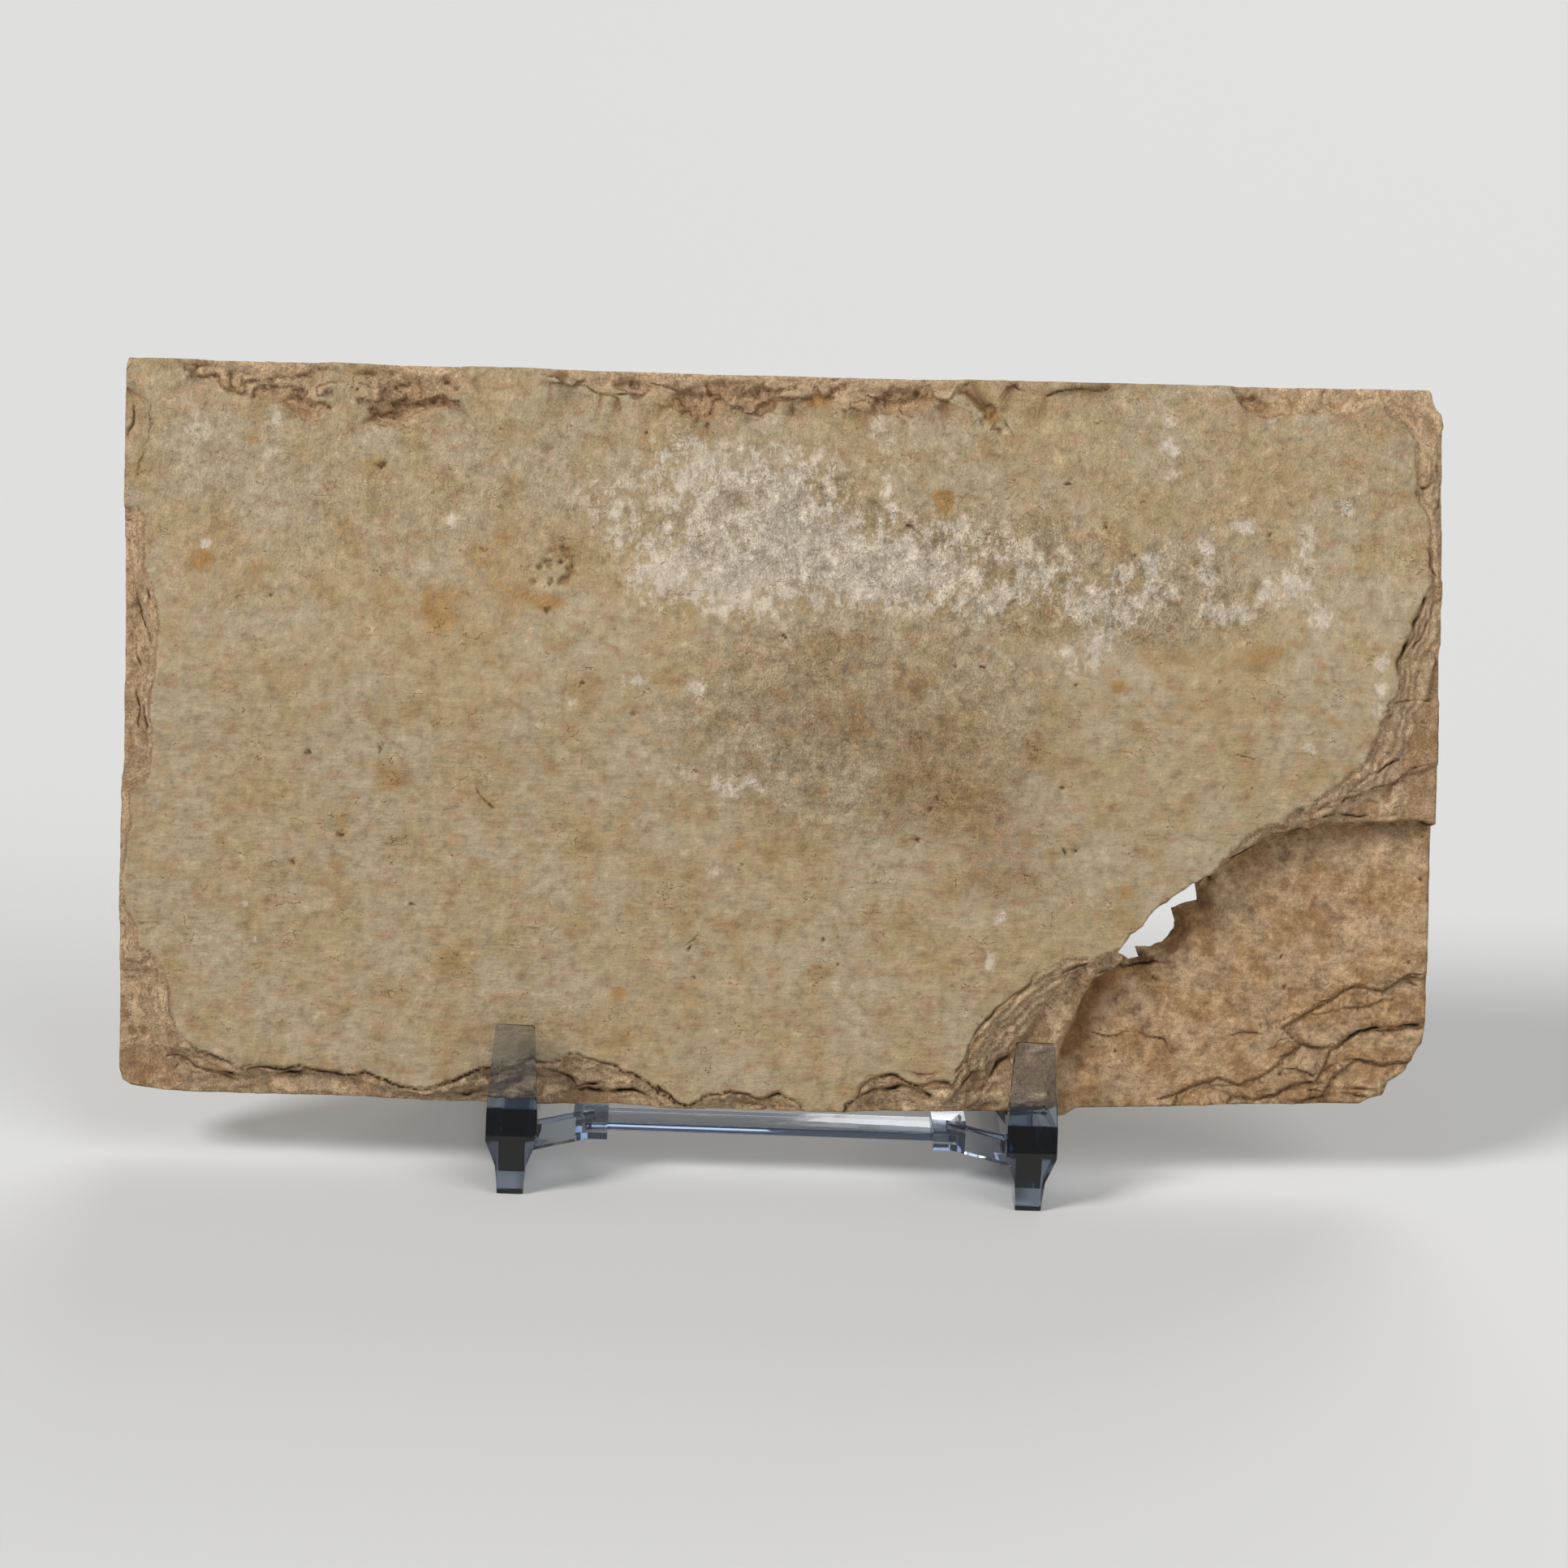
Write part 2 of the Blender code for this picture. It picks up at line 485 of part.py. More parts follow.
def fish_fins(form):
    """Fin rays as fans: each list gives the base line, the tip line and the number of rays."""
    fans = [
        ((98, 35.5), (125, 33.5), (108.5, 58.5), (126, 36), 9),
        ((124, -41.5), (195, -10.5), (129, -55), (195, -14.5), 16),
        ((97, -48.5), (104, -47.5), (101, -55), (107.5, -59.5), 4),
        ((51, -36), (53, -40), (80, -38), (75, -47), 6),
        ((205, 1.5), (205, 9.5), (225, 3), (249, 50), 9),
        ((205, -1.5), (205, -9.5), (225, -1), (249.5, -45), 9)]
    for base_start, base_end, tip_start, tip_end, count in fans:
        for index in range(count):
            share = index / (count - 1)
            start = Vector(base_start).lerp(Vector(base_end), share)
            finish = Vector(tip_start).lerp(Vector(tip_end), share)
            bone(form, start, finish, 1.1, 1.2 + 0.01 * (index % 7), tip=0.7)
    for index in range(9):
        x = 62 + 4 * index
        bone(form, (x, along(BACK_LINE, x) - 3.4), (x + 1.2, along(BACK_LINE, x + 1.2) - 0.6), 1.3, 1.28)
    for index in range(11):
        x = 36 + 5.4 * index
        bone(form, (x, along(BELLY_LINE, x) + 3.4), (x + 1.4, along(BELLY_LINE, x + 1.4) + 0.6), 1.3, 1.27)


def side_view(point):
    """A point of the easel's side view, given as depth behind the lip and height up the plate."""
    depth, height = point
    place = LIP_CORNER + depth * INTO_PLATE + height * UP_FACE
    return (place.y, place.z)


def make_side(name, side, finish):
    """One moulded side piece. side is -1 for the left one and 1 for the right one."""
    middle = side * SIDE_SPACING / 2
    across = Matrix.Translation((middle * MM, 0, 0)) @ Matrix((
        (0, 0, 1, 0), (1, 0, 0, 0), (0, 1, 0, 0), (0, 0, 0, 1)))
    front = -EASEL_DEPTH / 2
    back = EASEL_DEPTH / 2
    lip_foot = side_view((-LIP_BASE_THICKNESS, -SHELF_THICKNESS))
    lip_tip = side_view((-LIP_TOP_THICKNESS, LIP_HEIGHT))
    lip_back = side_view((0, LIP_HEIGHT))
    corner = side_view((0, 0))
    upright_foot = side_view((UPRIGHT_FACE, 0))
    shelf_under = side_view((UPRIGHT_FACE + OVERLAP, -SHELF_THICKNESS))
    shelf_top_end = side_view((UPRIGHT_FACE + OVERLAP, 0))
    body = [
        (front, 0), (front + FOOT_DEPTH, 0), (front + FOOT_DEPTH + 1.5, lip_foot[1] - 3), shelf_under,
        shelf_top_end, corner, lip_back, lip_tip, lip_foot]
    piece = outline_solid(name, [rounded(body, BODY_ROUNDING, 2)], -LIP_BASE_WIDTH, LIP_BASE_WIDTH, across)
    piece.data.materials.append(finish)

    widths = FOOT_WIDTHS + [
        (LIP_TOP_WIDTH / 2, lip_tip[1] - 1.2), (LIP_TOP_WIDTH / 2 - 1.2, lip_tip[1] + 1)]
    front_view = widths + [(-x, z) for x, z in reversed(widths)]
    facing = Matrix.Translation((middle * MM, 0, 0)) @ Matrix.Rotation(math.pi / 2, 4, "X")
    taper = outline_solid(name + "_widths", [front_view], -back - OVERLAP, back, facing, cutter=True)
    combine(piece, taper, "INTERSECT")

    top = side_view((UPRIGHT_FACE, UPRIGHT_HEIGHT))
    top_rear = side_view((UPRIGHT_FACE + FRAME_THICKNESS, UPRIGHT_HEIGHT))
    frame = [
        (front + 1.0, RAIL_LOW + 1.2), (back - 9, RAIL_LOW), (back - 8, 0), (back, 0), top_rear,
        top, upright_foot, side_view((UPRIGHT_FACE - 6, -1.5)), side_view((2, -SHELF_THICKNESS + 1)),
        (front + 1.0, RAIL_HIGH)]
    slope = Vector(top_rear) - Vector((back, 0))
    inner_low = (back - 8.4, RAIL_HIGH)
    reach = (top[1] - GAP_BELOW_TOP - RAIL_HIGH) / slope.y
    inner_top = (inner_low[0] + slope.x * reach, top[1] - GAP_BELOW_TOP)
    rail_end = side_view((UPRIGHT_FACE + FRAME_THICKNESS, -SHELF_THICKNESS + 1))
    rail_front = (rail_end[0] + 0.6, RAIL_HIGH)
    upright_top = side_view((UPRIGHT_FACE + FRAME_THICKNESS, 0))
    share = (inner_top[1] - upright_top[1]) / UP_FACE.z
    inner_front = (upright_top[0] + UP_FACE.y * share, inner_top[1])
    gap = [rail_front, inner_low, inner_top, inner_front, upright_top]
    loops = [rounded(frame, FRAME_ROUNDING, 2), rounded(gap, GAP_ROUNDING, 2)]
    ribs = outline_solid(name + "_frame", loops, -FRAME_WIDTH / 2, FRAME_WIDTH / 2, across, cutter=True)
    combine(piece, ribs, "UNION")

    web_start = middle - 2 * side
    web_end = side * (SOCKET_INNER_X + OVERLAP)
    socket_front = front + SOCKET_SETBACK
    web = [(web_start, front + ARM_SETBACK), (web_end, socket_front + 0.4),
           (web_end, socket_front + 0.4 + ARM_END_DEPTH), (web_start, front + ARM_SETBACK + ARM_DEPTH)]
    flat = Matrix.Identity(4)
    arm = outline_solid(name + "_arm", [web], ARM_LOW, ARM_HIGH, flat, cutter=True)
    combine(piece, arm, "UNION")
    crossbar_front = socket_front + SOCKET_WALL
    socket = rectangle(
        side * SOCKET_INNER_X, side * (SOCKET_INNER_X + SOCKET_LENGTH),
        socket_front, crossbar_front + CROSSBAR_DEPTH + SOCKET_WALL)
    block = outline_solid(name + "_socket", [socket], CROSSBAR_LOW - SOCKET_WALL,
                          CROSSBAR_LOW + CROSSBAR_THICKNESS + SOCKET_ROOF, flat, cutter=True)
    combine(piece, block, "UNION")
    slot = rectangle(
        side * (SOCKET_INNER_X - OVERLAP), side * (SOCKET_INNER_X + SOCKET_LENGTH - SOCKET_END),
        crossbar_front - TOUCH, crossbar_front + CROSSBAR_DEPTH + TOUCH)
    slit = outline_solid(name + "_slot", [slot], CROSSBAR_LOW - TOUCH,
                         CROSSBAR_LOW + CROSSBAR_THICKNESS + TOUCH, flat, cutter=True)
    combine(piece, slit, "DIFFERENCE")
    return piece


def make_crossbar(finish):
    front = -EASEL_DEPTH / 2 + SOCKET_SETBACK + SOCKET_WALL
    reach = SOCKET_INNER_X + SOCKET_LENGTH - SOCKET_END - TOUCH
    strip = rectangle(-reach, reach, front, front + CROSSBAR_DEPTH)
    crossbar = outline_solid("easel_crossbar", [rounded(strip, FRAME_ROUNDING, 2)], CROSSBAR_LOW,
                             CROSSBAR_LOW + CROSSBAR_THICKNESS, Matrix.Identity(4))
    crossbar.data.materials.append(finish)
    return crossbar


start_scene()
limestone = material("limestone", (0.56, 0.45, 0.31), 0.92)
fossil_bone = material("fossil_bone", (0.20, 0.11, 0.06), 0.6)
clear_plastic = material("clear_plastic", (0.86, 0.90, 0.92), 0.08, 0.35)
make_slab(limestone)
make_fish(fossil_bone)
make_side("easel_side_left", -1, clear_plastic)
make_side("easel_side_right", 1, clear_plastic)
make_crossbar(clear_plastic)
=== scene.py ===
import math

import bmesh
import bpy
import numpy as np
from mathutils import Matrix, Vector
from mathutils.geometry import delaunay_2d_cdt


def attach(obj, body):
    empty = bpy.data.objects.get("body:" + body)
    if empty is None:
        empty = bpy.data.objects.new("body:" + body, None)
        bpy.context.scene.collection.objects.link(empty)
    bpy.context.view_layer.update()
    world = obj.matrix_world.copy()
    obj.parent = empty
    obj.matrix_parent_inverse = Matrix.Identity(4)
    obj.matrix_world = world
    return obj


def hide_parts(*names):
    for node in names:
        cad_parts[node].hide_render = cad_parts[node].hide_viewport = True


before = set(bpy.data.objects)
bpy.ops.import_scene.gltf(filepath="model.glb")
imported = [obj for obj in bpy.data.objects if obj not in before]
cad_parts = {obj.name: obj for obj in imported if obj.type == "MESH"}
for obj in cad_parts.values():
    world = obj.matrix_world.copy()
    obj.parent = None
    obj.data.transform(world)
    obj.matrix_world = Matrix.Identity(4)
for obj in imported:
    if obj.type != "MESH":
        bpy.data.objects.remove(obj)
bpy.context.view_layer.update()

MM = 0.001


# Studio: a wide pale table under soft lamps, and the camera where the photograph was taken from.
# The camera stands a little to the left of the plate's middle, square to its leaning face, and is
# rolled by almost three degrees, its right side up.
CAMERA_TARGET = (0.0004, 0.0, 0.0868)
CAMERA_DISTANCE = 0.70
CAMERA_AZIMUTH = math.radians(-2.07)
CAMERA_ELEVATION = math.radians(16.57)
CAMERA_ROLL = math.radians(2.75)
CAMERA_LENS = 68.0
CAMERA_SENSOR = 36.0
CAMERA_REACH = 60.0
TABLE_SIZE = 30.0
TABLE_COLOUR = (0.66, 0.655, 0.64, 1.0)
TABLE_ROUGHNESS = 0.9
SKY_COLOUR = (0.92, 0.95, 1.0, 1.0)
SKY_STRENGTH = 0.28
LAMP_AIM = Vector((0, 0, 0.08))
LAMPS = (
    ("key", (-0.95, -0.55, 1.00), 18.0, 2.1),
    ("fill", (0.80, -0.60, 1.05), 40.0, 0.9),
    ("rear", (0.35, 1.10, 1.00), 40.0, 1.1))


def set_out(name, data):
    """A new object in the scene that shows a mesh, a lamp or a camera."""
    thing = bpy.data.objects.new(name, data)
    bpy.context.scene.collection.objects.link(thing)
    return thing


look = Vector((
    -math.sin(CAMERA_AZIMUTH) * math.cos(CAMERA_ELEVATION),
    math.cos(CAMERA_AZIMUTH) * math.cos(CAMERA_ELEVATION),
    -math.sin(CAMERA_ELEVATION)))
level = look.cross(Vector((0, 0, 1))).normalized()
above = level.cross(look)
camera_right = level * math.cos(CAMERA_ROLL) + above * math.sin(CAMERA_ROLL)
camera_up = above * math.cos(CAMERA_ROLL) - level * math.sin(CAMERA_ROLL)
camera_data = bpy.data.cameras.new("camera")
camera_data.lens = CAMERA_LENS
camera_data.sensor_width = CAMERA_SENSOR
camera_data.clip_end = CAMERA_REACH
camera = set_out("camera", camera_data)
turned = Matrix((camera_right, camera_up, -look)).transposed().to_4x4()
camera.matrix_world = Matrix.Translation(Vector(CAMERA_TARGET) - look * CAMERA_DISTANCE) @ turned
bpy.context.scene.camera = camera

table_form = bmesh.new()
bmesh.ops.create_grid(table_form, x_segments=2, y_segments=2, size=TABLE_SIZE / 2)
table_mesh = bpy.data.meshes.new("table")
table_form.to_mesh(table_mesh)
table_form.free()
table = set_out("table", table_mesh)
table_finish = bpy.data.materials.new("table")
table_finish.use_nodes = True
table_shader = table_finish.node_tree.nodes["Principled BSDF"]
table_shader.inputs["Base Color"].default_value = TABLE_COLOUR
table_shader.inputs["Roughness"].default_value = TABLE_ROUGHNESS
table_mesh.materials.append(table_finish)

for lamp_name, lamp_place, lamp_spread, lamp_power in LAMPS:
    lamp_data = bpy.data.lights.new(lamp_name, "SUN")
    lamp_data.angle = math.radians(lamp_spread)
    lamp_data.energy = lamp_power
    lamp = set_out(lamp_name, lamp_data)
    aim = LAMP_AIM - Vector(lamp_place)
    lamp.matrix_world = Matrix.Translation(lamp_place) @ aim.to_track_quat("-Z", "Y").to_matrix().to_4x4()
world = bpy.data.worlds.new("studio")
world.use_nodes = True
world.node_tree.nodes["Background"].inputs["Color"].default_value = SKY_COLOUR
world.node_tree.nodes["Background"].inputs["Strength"].default_value = SKY_STRENGTH
bpy.context.scene.world = world
bpy.context.scene.view_settings.view_transform = "Standard"


# Easel side pieces and crossbar: injection-moulded clear styrene, faintly smoky, with soft moulded
# edges. Each side is one moulding, and the crossbar is pushed into the sockets of both.
EASEL_ROUNDING = 0.45 * MM
EASEL_ROUNDING_STEPS = 3
EASEL_MERGE = 0.02 * MM
FLAT_WITHIN = math.radians(1)
ROUNDED_FROM = math.radians(50)
SHARP_FROM = math.radians(30)
PLASTIC_CLEAR = (0.97, 0.98, 0.99, 1.0)
PLASTIC_IOR = 1.57
SMOKE = (0.66, 0.71, 0.77, 1.0)
SMOKE_DENSITY = 500.0


class Wire:
    """One socket in a material's nodes. Sums on wires add Math nodes to the same material."""

    def __init__(self, nodes, socket=None):
        self.nodes = nodes
        self.socket = socket

    def add(self, kind, settings, values, out=0):
        """A node of one kind, with its settings made first and then its sockets set or linked."""
        node = self.nodes.new(kind)
        for name, value in settings.items():
            setattr(node, name, value)
        for key, value in values.items():
            if isinstance(value, Wire):
                self.nodes.id_data.links.new(value.socket, node.inputs[key])
            else:
                node.inputs[key].default_value = value
        return Wire(self.nodes, node.outputs[out])

    def sum(self, operation, first, second):
        return self.add("ShaderNodeMath", {"operation": operation}, {0: first, 1: second})

    def __add__(self, other):
        return self.sum("ADD", self, other)

    def __radd__(self, other):
        return self.sum("ADD", other, self)

    def __sub__(self, other):
        return self.sum("SUBTRACT", self, other)

    def __rsub__(self, other):
        return self.sum("SUBTRACT", other, self)

    def __mul__(self, other):
        return self.sum("MULTIPLY", self, other)

    def __rmul__(self, other):
        return self.sum("MULTIPLY", other, self)

    def read(self, name, out=0):
        """A value kept on the mesh: 0 its colour, 1 its three numbers, 2 its one number, 3 its alpha."""
        return self.add("ShaderNodeAttribute", {"attribute_name": name}, {}, out=out)

    def between(self, low, high):
        """0 below one value, 1 above the other, and a smooth rise between them."""
        return self.add(
            "ShaderNodeMapRange", {"interpolation_type": "SMOOTHSTEP"},
            {0: self, 1: low, 2: high, 3: 0.0, 4: 1.0})

    def tint(self, colour, other):
        """Mixes two colours: this wire is how much of the second one shows."""
        return self.add("ShaderNodeMix", {"data_type": "RGBA"}, {0: self, 6: colour, 7: other}, out=2)

    def under(self, *layers):
        """This colour below others, each given as how much of it shows and its colour."""
        colour = self
        for shows, other in layers:
            colour = shows.tint(colour, other)
        return colour

    def noise(self, scale, detail=4.0, roughness=0.55):
        """Cloudy noise over this wire's place, with so many lumps to each unit of it."""
        return self.add(
            "ShaderNodeTexNoise", {},
            {"Vector": self, "Scale": scale, "Detail": detail, "Roughness": roughness})

    def stretched(self, across, up, deep=1.0):
        """This place with each direction scaled by itself, which draws a pattern out."""
        return self.add("ShaderNodeMapping", {}, {"Vector": self, "Scale": (across, up, deep)})

    def astray(self, scale, detail, reach):
        """This place led astray by noise, which makes the edges of a pattern ragged."""
        wander = self.add("ShaderNodeTexNoise", {}, {"Vector": self, "Scale": scale, "Detail": detail}, out=1)
        return self.add("ShaderNodeVectorMath", {"operation": "ADD"}, {0: self, 1: wander.brightened(reach)})

    def flakes(self, scale):
        """Ragged flakes of random height, so many to each unit of this wire's place."""
        moved = self.astray(scale * 1.6, 3.0, 1.5 / scale)
        cells = self.add("ShaderNodeTexVoronoi", {}, {"Vector": moved, "Scale": scale}, out=1)
        return self.add("ShaderNodeSeparateColor", {}, {0: cells})

    def dots(self, scale, radius, share):
        """Small uneven dots in some of the cells of this wire's place, the more where share is high."""
        moved = self.astray(scale * 6, 2.0, 0.45 / scale)
        cell = self.add("ShaderNodeTexVoronoi", {}, {"Vector": moved, "Scale": scale})
        chance = self.add("ShaderNodeTexVoronoi", {}, {"Vector": moved, "Scale": scale}, out=1)
        chance = self.add("ShaderNodeSeparateColor", {}, {0: chance})
        return cell.between(radius, radius * 0.30) * (chance + 0.45 * share).between(0.86, 0.92)

    def brightened(self, factor):
        """This colour, or this row of three numbers, scaled by one factor."""
        return self.add("ShaderNodeVectorMath", {"operation": "SCALE"}, {0: self, "Scale": factor})


def new_finish(name):
    """An empty material, the wire its nodes start from, and its Principled shader."""
    finish = bpy.data.materials.new(name)
    finish.use_nodes = True
    return finish, Wire(finish.node_tree.nodes), finish.node_tree.nodes["Principled BSDF"]


def connect(finish, wire, shader, socket):
    """Leads a wire into one of a material's own shader sockets."""
    finish.node_tree.links.new(wire.socket, shader.inputs[socket])


clear_plastic, plastic_wires, plastic_shader = new_finish("clear_plastic")
plastic_shader.inputs["Base Color"].default_value = PLASTIC_CLEAR
plastic_shader.inputs["Transmission Weight"].default_value = 1.0
plastic_shader.inputs["IOR"].default_value = PLASTIC_IOR
plastic_place = plastic_wires.add("ShaderNodeTexCoord", {}, {}, out=3)
plastic_haze = plastic_place.noise(55.0, 3.0)
connect(clear_plastic, 0.02 + 0.06 * plastic_haze.between(0.45, 0.75), plastic_shader, "Roughness")
plastic_flow = plastic_wires.add(
    "ShaderNodeBump", {}, {"Strength": 0.12, "Distance": 0.0004, "Height": plastic_place.noise(90.0, 2.0)})
connect(clear_plastic, plastic_flow, plastic_shader, "Normal")
plastic_smoke = clear_plastic.node_tree.nodes.new("ShaderNodeVolumeAbsorption")
plastic_smoke.inputs["Color"].default_value = SMOKE
plastic_smoke.inputs["Density"].default_value = SMOKE_DENSITY
clear_plastic.node_tree.links.new(
    plastic_smoke.outputs["Volume"], clear_plastic.node_tree.nodes["Material Output"].inputs["Volume"])


def moulded_copy(node, name):
    """A merged copy of a CAD node with whole flat faces and softly rounded edges."""
    form = bmesh.new()
    form.from_mesh(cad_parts[node].data)
    bmesh.ops.remove_doubles(form, verts=form.verts, dist=EASEL_MERGE)
    bmesh.ops.dissolve_limit(form, angle_limit=FLAT_WITHIN, verts=form.verts, edges=form.edges)
    mesh = bpy.data.meshes.new(name)
    form.to_mesh(mesh)
    form.free()
    mesh.materials.clear()
    mesh.materials.append(clear_plastic)
    piece = set_out(name, mesh)
    rounding = piece.modifiers.new("rounding", "BEVEL")
    rounding.width = EASEL_ROUNDING
    rounding.segments = EASEL_ROUNDING_STEPS
    rounding.limit_method = "ANGLE"
    rounding.angle_limit = ROUNDED_FROM
    mesh.shade_smooth()
    mesh.set_sharp_from_angle(angle=SHARP_FROM)
    return piece


for easel_node in ("easel_side_left", "easel_side_right", "easel_crossbar"):
    moulding = moulded_copy(easel_node, easel_node + "_moulding")
    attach(moulding, "root")
    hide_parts(easel_node)


# Plate: a slab of thinly bedded lake limestone, sawn square on four sides. Its sheets have split and
# spalled away along the edges, and at the lower right down to a deeper bed with a hole through it.
# All its sizes are millimetres in its own frame: u from the left edge, v from the foot, w into it.
PLATE_WIDTH = 305.0
PLATE_DEPTH = 16.0
PLATE_LEAN = math.radians(15.0)
PLATE_ROLL = math.radians(1.0)
PLATE_ORIGIN = (1.45, -36.051, 21.702)
RIGHT_LEAN = 2.1
RIGHT_LEAN_V = (60.0, 160.0)
EDGE_STEP = 0.7
HOLE_STEP = 0.5
SIDE_RINGS = 9
HOLE_RINGS = 4
WIDE_STEP, MIDDLE_STEP, TORN_STEP, CLOSE_STEP, FINEST_STEP = 1.6, 0.90, 0.65, 0.52, 0.30
REAR_STEP = 2.0
MESH_FROM, MESH_TO = (-1, -4), (306, 168)
MESH_JITTER = 0.55
MESH_MERGE = 1e-5
LUMP_LATTICE = 512
LUMP_MARGIN = 40
PLAIN_TOOTH = 0.15

SAWN_EDGE = [
    (0.9, 166.9), (0.3, 165.6), (0.2, 120), (0.5, 80), (0.3, 40), (0.3, 4), (1, 1.5), (3, 0.2),
    (6, -0.2), (11, -0.8), (20, -1.2), (50, -1.3), (70, -2), (97, -2.6), (115, -2.3), (125, -2.8),
    (145, -2.9), (180, -2.9), (200, -2.6), (225, -2.1), (240, -1.7), (260, -1), (285, -0.5),
    (290, -0.5), (293, 1), (295.5, 1.6), (296.3, 3.5), (297, 4.8), (300.5, 7), (302, 10),
    (303, 12), (304.6, 14.2), (305, 17), (304.8, 60), (305.2, 110), (305.2, 159), (304.6, 161.4),
    (303, 162.8), (301.6, 164.5), (301, 166.1), (300, 166.9), (260, 166.6), (140, 166.5), (40, 166.9)]
FACE_OUTLINE = [
    (-3, 133.5), (3.5, 133), (4.8, 131), (5, 128), (5.8, 120), (6.3, 116.5), (7.6, 113), (8.8, 110.5),
    (8.9, 106), (8.3, 101), (7.2, 87), (7.8, 78), (6.8, 71.5), (5.5, 70), (3.5, 69.3), (2, 68),
    (2.8, 65), (3, 60), (1.3, 48), (1, 45), (2.5, 42), (5, 37), (5.5, 32), (8, 31), (10.5, 29),
    (12.3, 22), (12.8, 18), (14.5, 14.8), (16.5, 11.5), (19, 9.2), (28, 5.3), (39, 4.8), (42, 5.8),
    (45, 5), (49, 5), (52, 4.2), (57.5, 5.2), (60, 3.8), (64, 2.2), (71, 0.8), (75, 2), (79, 3.5),
    (82, 5.2), (84, 6), (92, 7.6), (102, 8.4), (103.5, 9.3), (106, 9.5), (107.5, 8.6), (114.5, 7.8),
    (116, 6.8), (120, 5.2), (123, 3.2), (127, 0.6), (129, -0.8), (132, -1.5), (135, 0.3), (141, 2),
    (144, 1.5), (148, 0.5), (153, 1.6), (157.5, -0.5), (160, -6), (166, -6), (167.5, -1.2),
    (169.5, 0.5), (171, 3), (173, 5.3), (178, 5.8), (181, 5), (183, 4.2), (192.5, 3.8), (194, 7),
    (196.5, 13), (200, 19.5), (201, 21), (205, 22.5), (207, 25), (210, 28), (212, 30.5), (218, 33.3),
    (225, 34.3), (231, 36.5), (233, 39.5), (236, 41), (238, 44.5), (241, 47), (245, 50), (252.5, 54),
    (254.2, 57), (258, 61.5), (260, 63.3), (265, 65.3), (268.5, 65.8), (271, 69.5), (274.5, 70.3),
    (276, 72.3), (281.5, 76), (284, 78.3), (285.5, 78.3), (287, 81), (290, 89), (291.5, 92.5),
    (291, 94.5), (293.5, 96.5), (293.8, 101), (294.5, 105), (296.5, 109), (298.3, 117), (300, 120.5),
    (301.5, 123), (300.8, 130), (299.5, 138), (297.5, 141), (297.3, 146), (296, 155), (295.3, 157),
    (292, 159.5), (290, 161), (289, 163), (286, 162.3), (282, 160.5), (279, 160), (276, 161),
    (265, 160), (263, 158.3), (259, 159.2), (257, 160.8), (254, 164.5), (252, 170), (195, 170),
    (193, 166), (188.5, 162.1), (185, 160.3), (180, 159), (176, 156.5), (173.5, 157), (169, 159.8),
    (162, 159.8), (157, 160.8), (155, 162.2), (152, 161.9), (147.5, 159.3), (145.5, 157.5), (139, 159.5),
    (137.5, 159.8), (134, 156), (131.5, 155.5), (126, 157.2), (122, 160.5), (114, 161.3),
    (107.5, 161.8), (105, 163), (94.5, 164.8), (92, 170), (79, 170), (78.5, 164), (76.5, 162),
    (74, 157), (71, 155.5), (66, 155), (60, 152.7), (57, 153), (54.8, 154.5), (53.8, 157), (54.5, 159),
    (54, 170), (48, 170), (47.5, 163), (44, 158), (45, 156), (44.5, 153), (41, 152.8), (36, 155.3),
    (31.5, 158), (29, 159.2), (20, 159.5), (15, 161), (13.5, 170), (-3, 170)]
SECOND_OUTLINE = [
    (-6, 128), (1.6, 126), (3, 118), (4.8, 112), (5, 105), (4.2, 97), (4.8, 86), (4, 76), (2, 72.5),
    (-6, 71), (-6, 40), (1.8, 38), (2.6, 33), (5, 28), (6.8, 21), (7.4, 15), (9, 10), (12, 7.3),
    (16.5, 6.6), (20, 4.2), (25, 3.3), (31, 4.4), (36, 3), (42, 3.8), (51, 4.4), (57, 2.4), (62, 0.6),
    (70, -0.7), (80, 0), (88, 1.5), (96, 5.5), (99, 6.4), (103, 4.5), (106, 1.4), (118, 1.5),
    (123.5, -1), (126, -8), (134, -8), (136, -1), (140, 0), (152, -1.5), (154, -8), (168.5, -8),
    (170, -0.2), (175, 2), (183, 3.3), (187, 1.3), (192, 0.6), (195, 3.5), (197, 6.5), (200, 7.2),
    (202, 9.5), (206, 11), (208, 14), (210, 18), (214.5, 24), (220, 30), (224.5, 33), (231, 36),
    (241, 46.4), (252, 53.2), (255.2, 57.5), (266, 64), (272, 66), (277, 67.3), (281.5, 70.5),
    (285, 72.8), (293, 75.2), (297, 77.8), (304, 80.5), (312, 81), (312, 94), (302, 95), (302.4, 100),
    (303, 104), (304.5, 108.5), (312, 109), (312, 121), (304, 122), (302.5, 128), (303, 133),
    (302, 137.5), (303.4, 144), (302, 146), (303, 154), (303.4, 158), (312, 160), (312, 174),
    (-6, 174)]
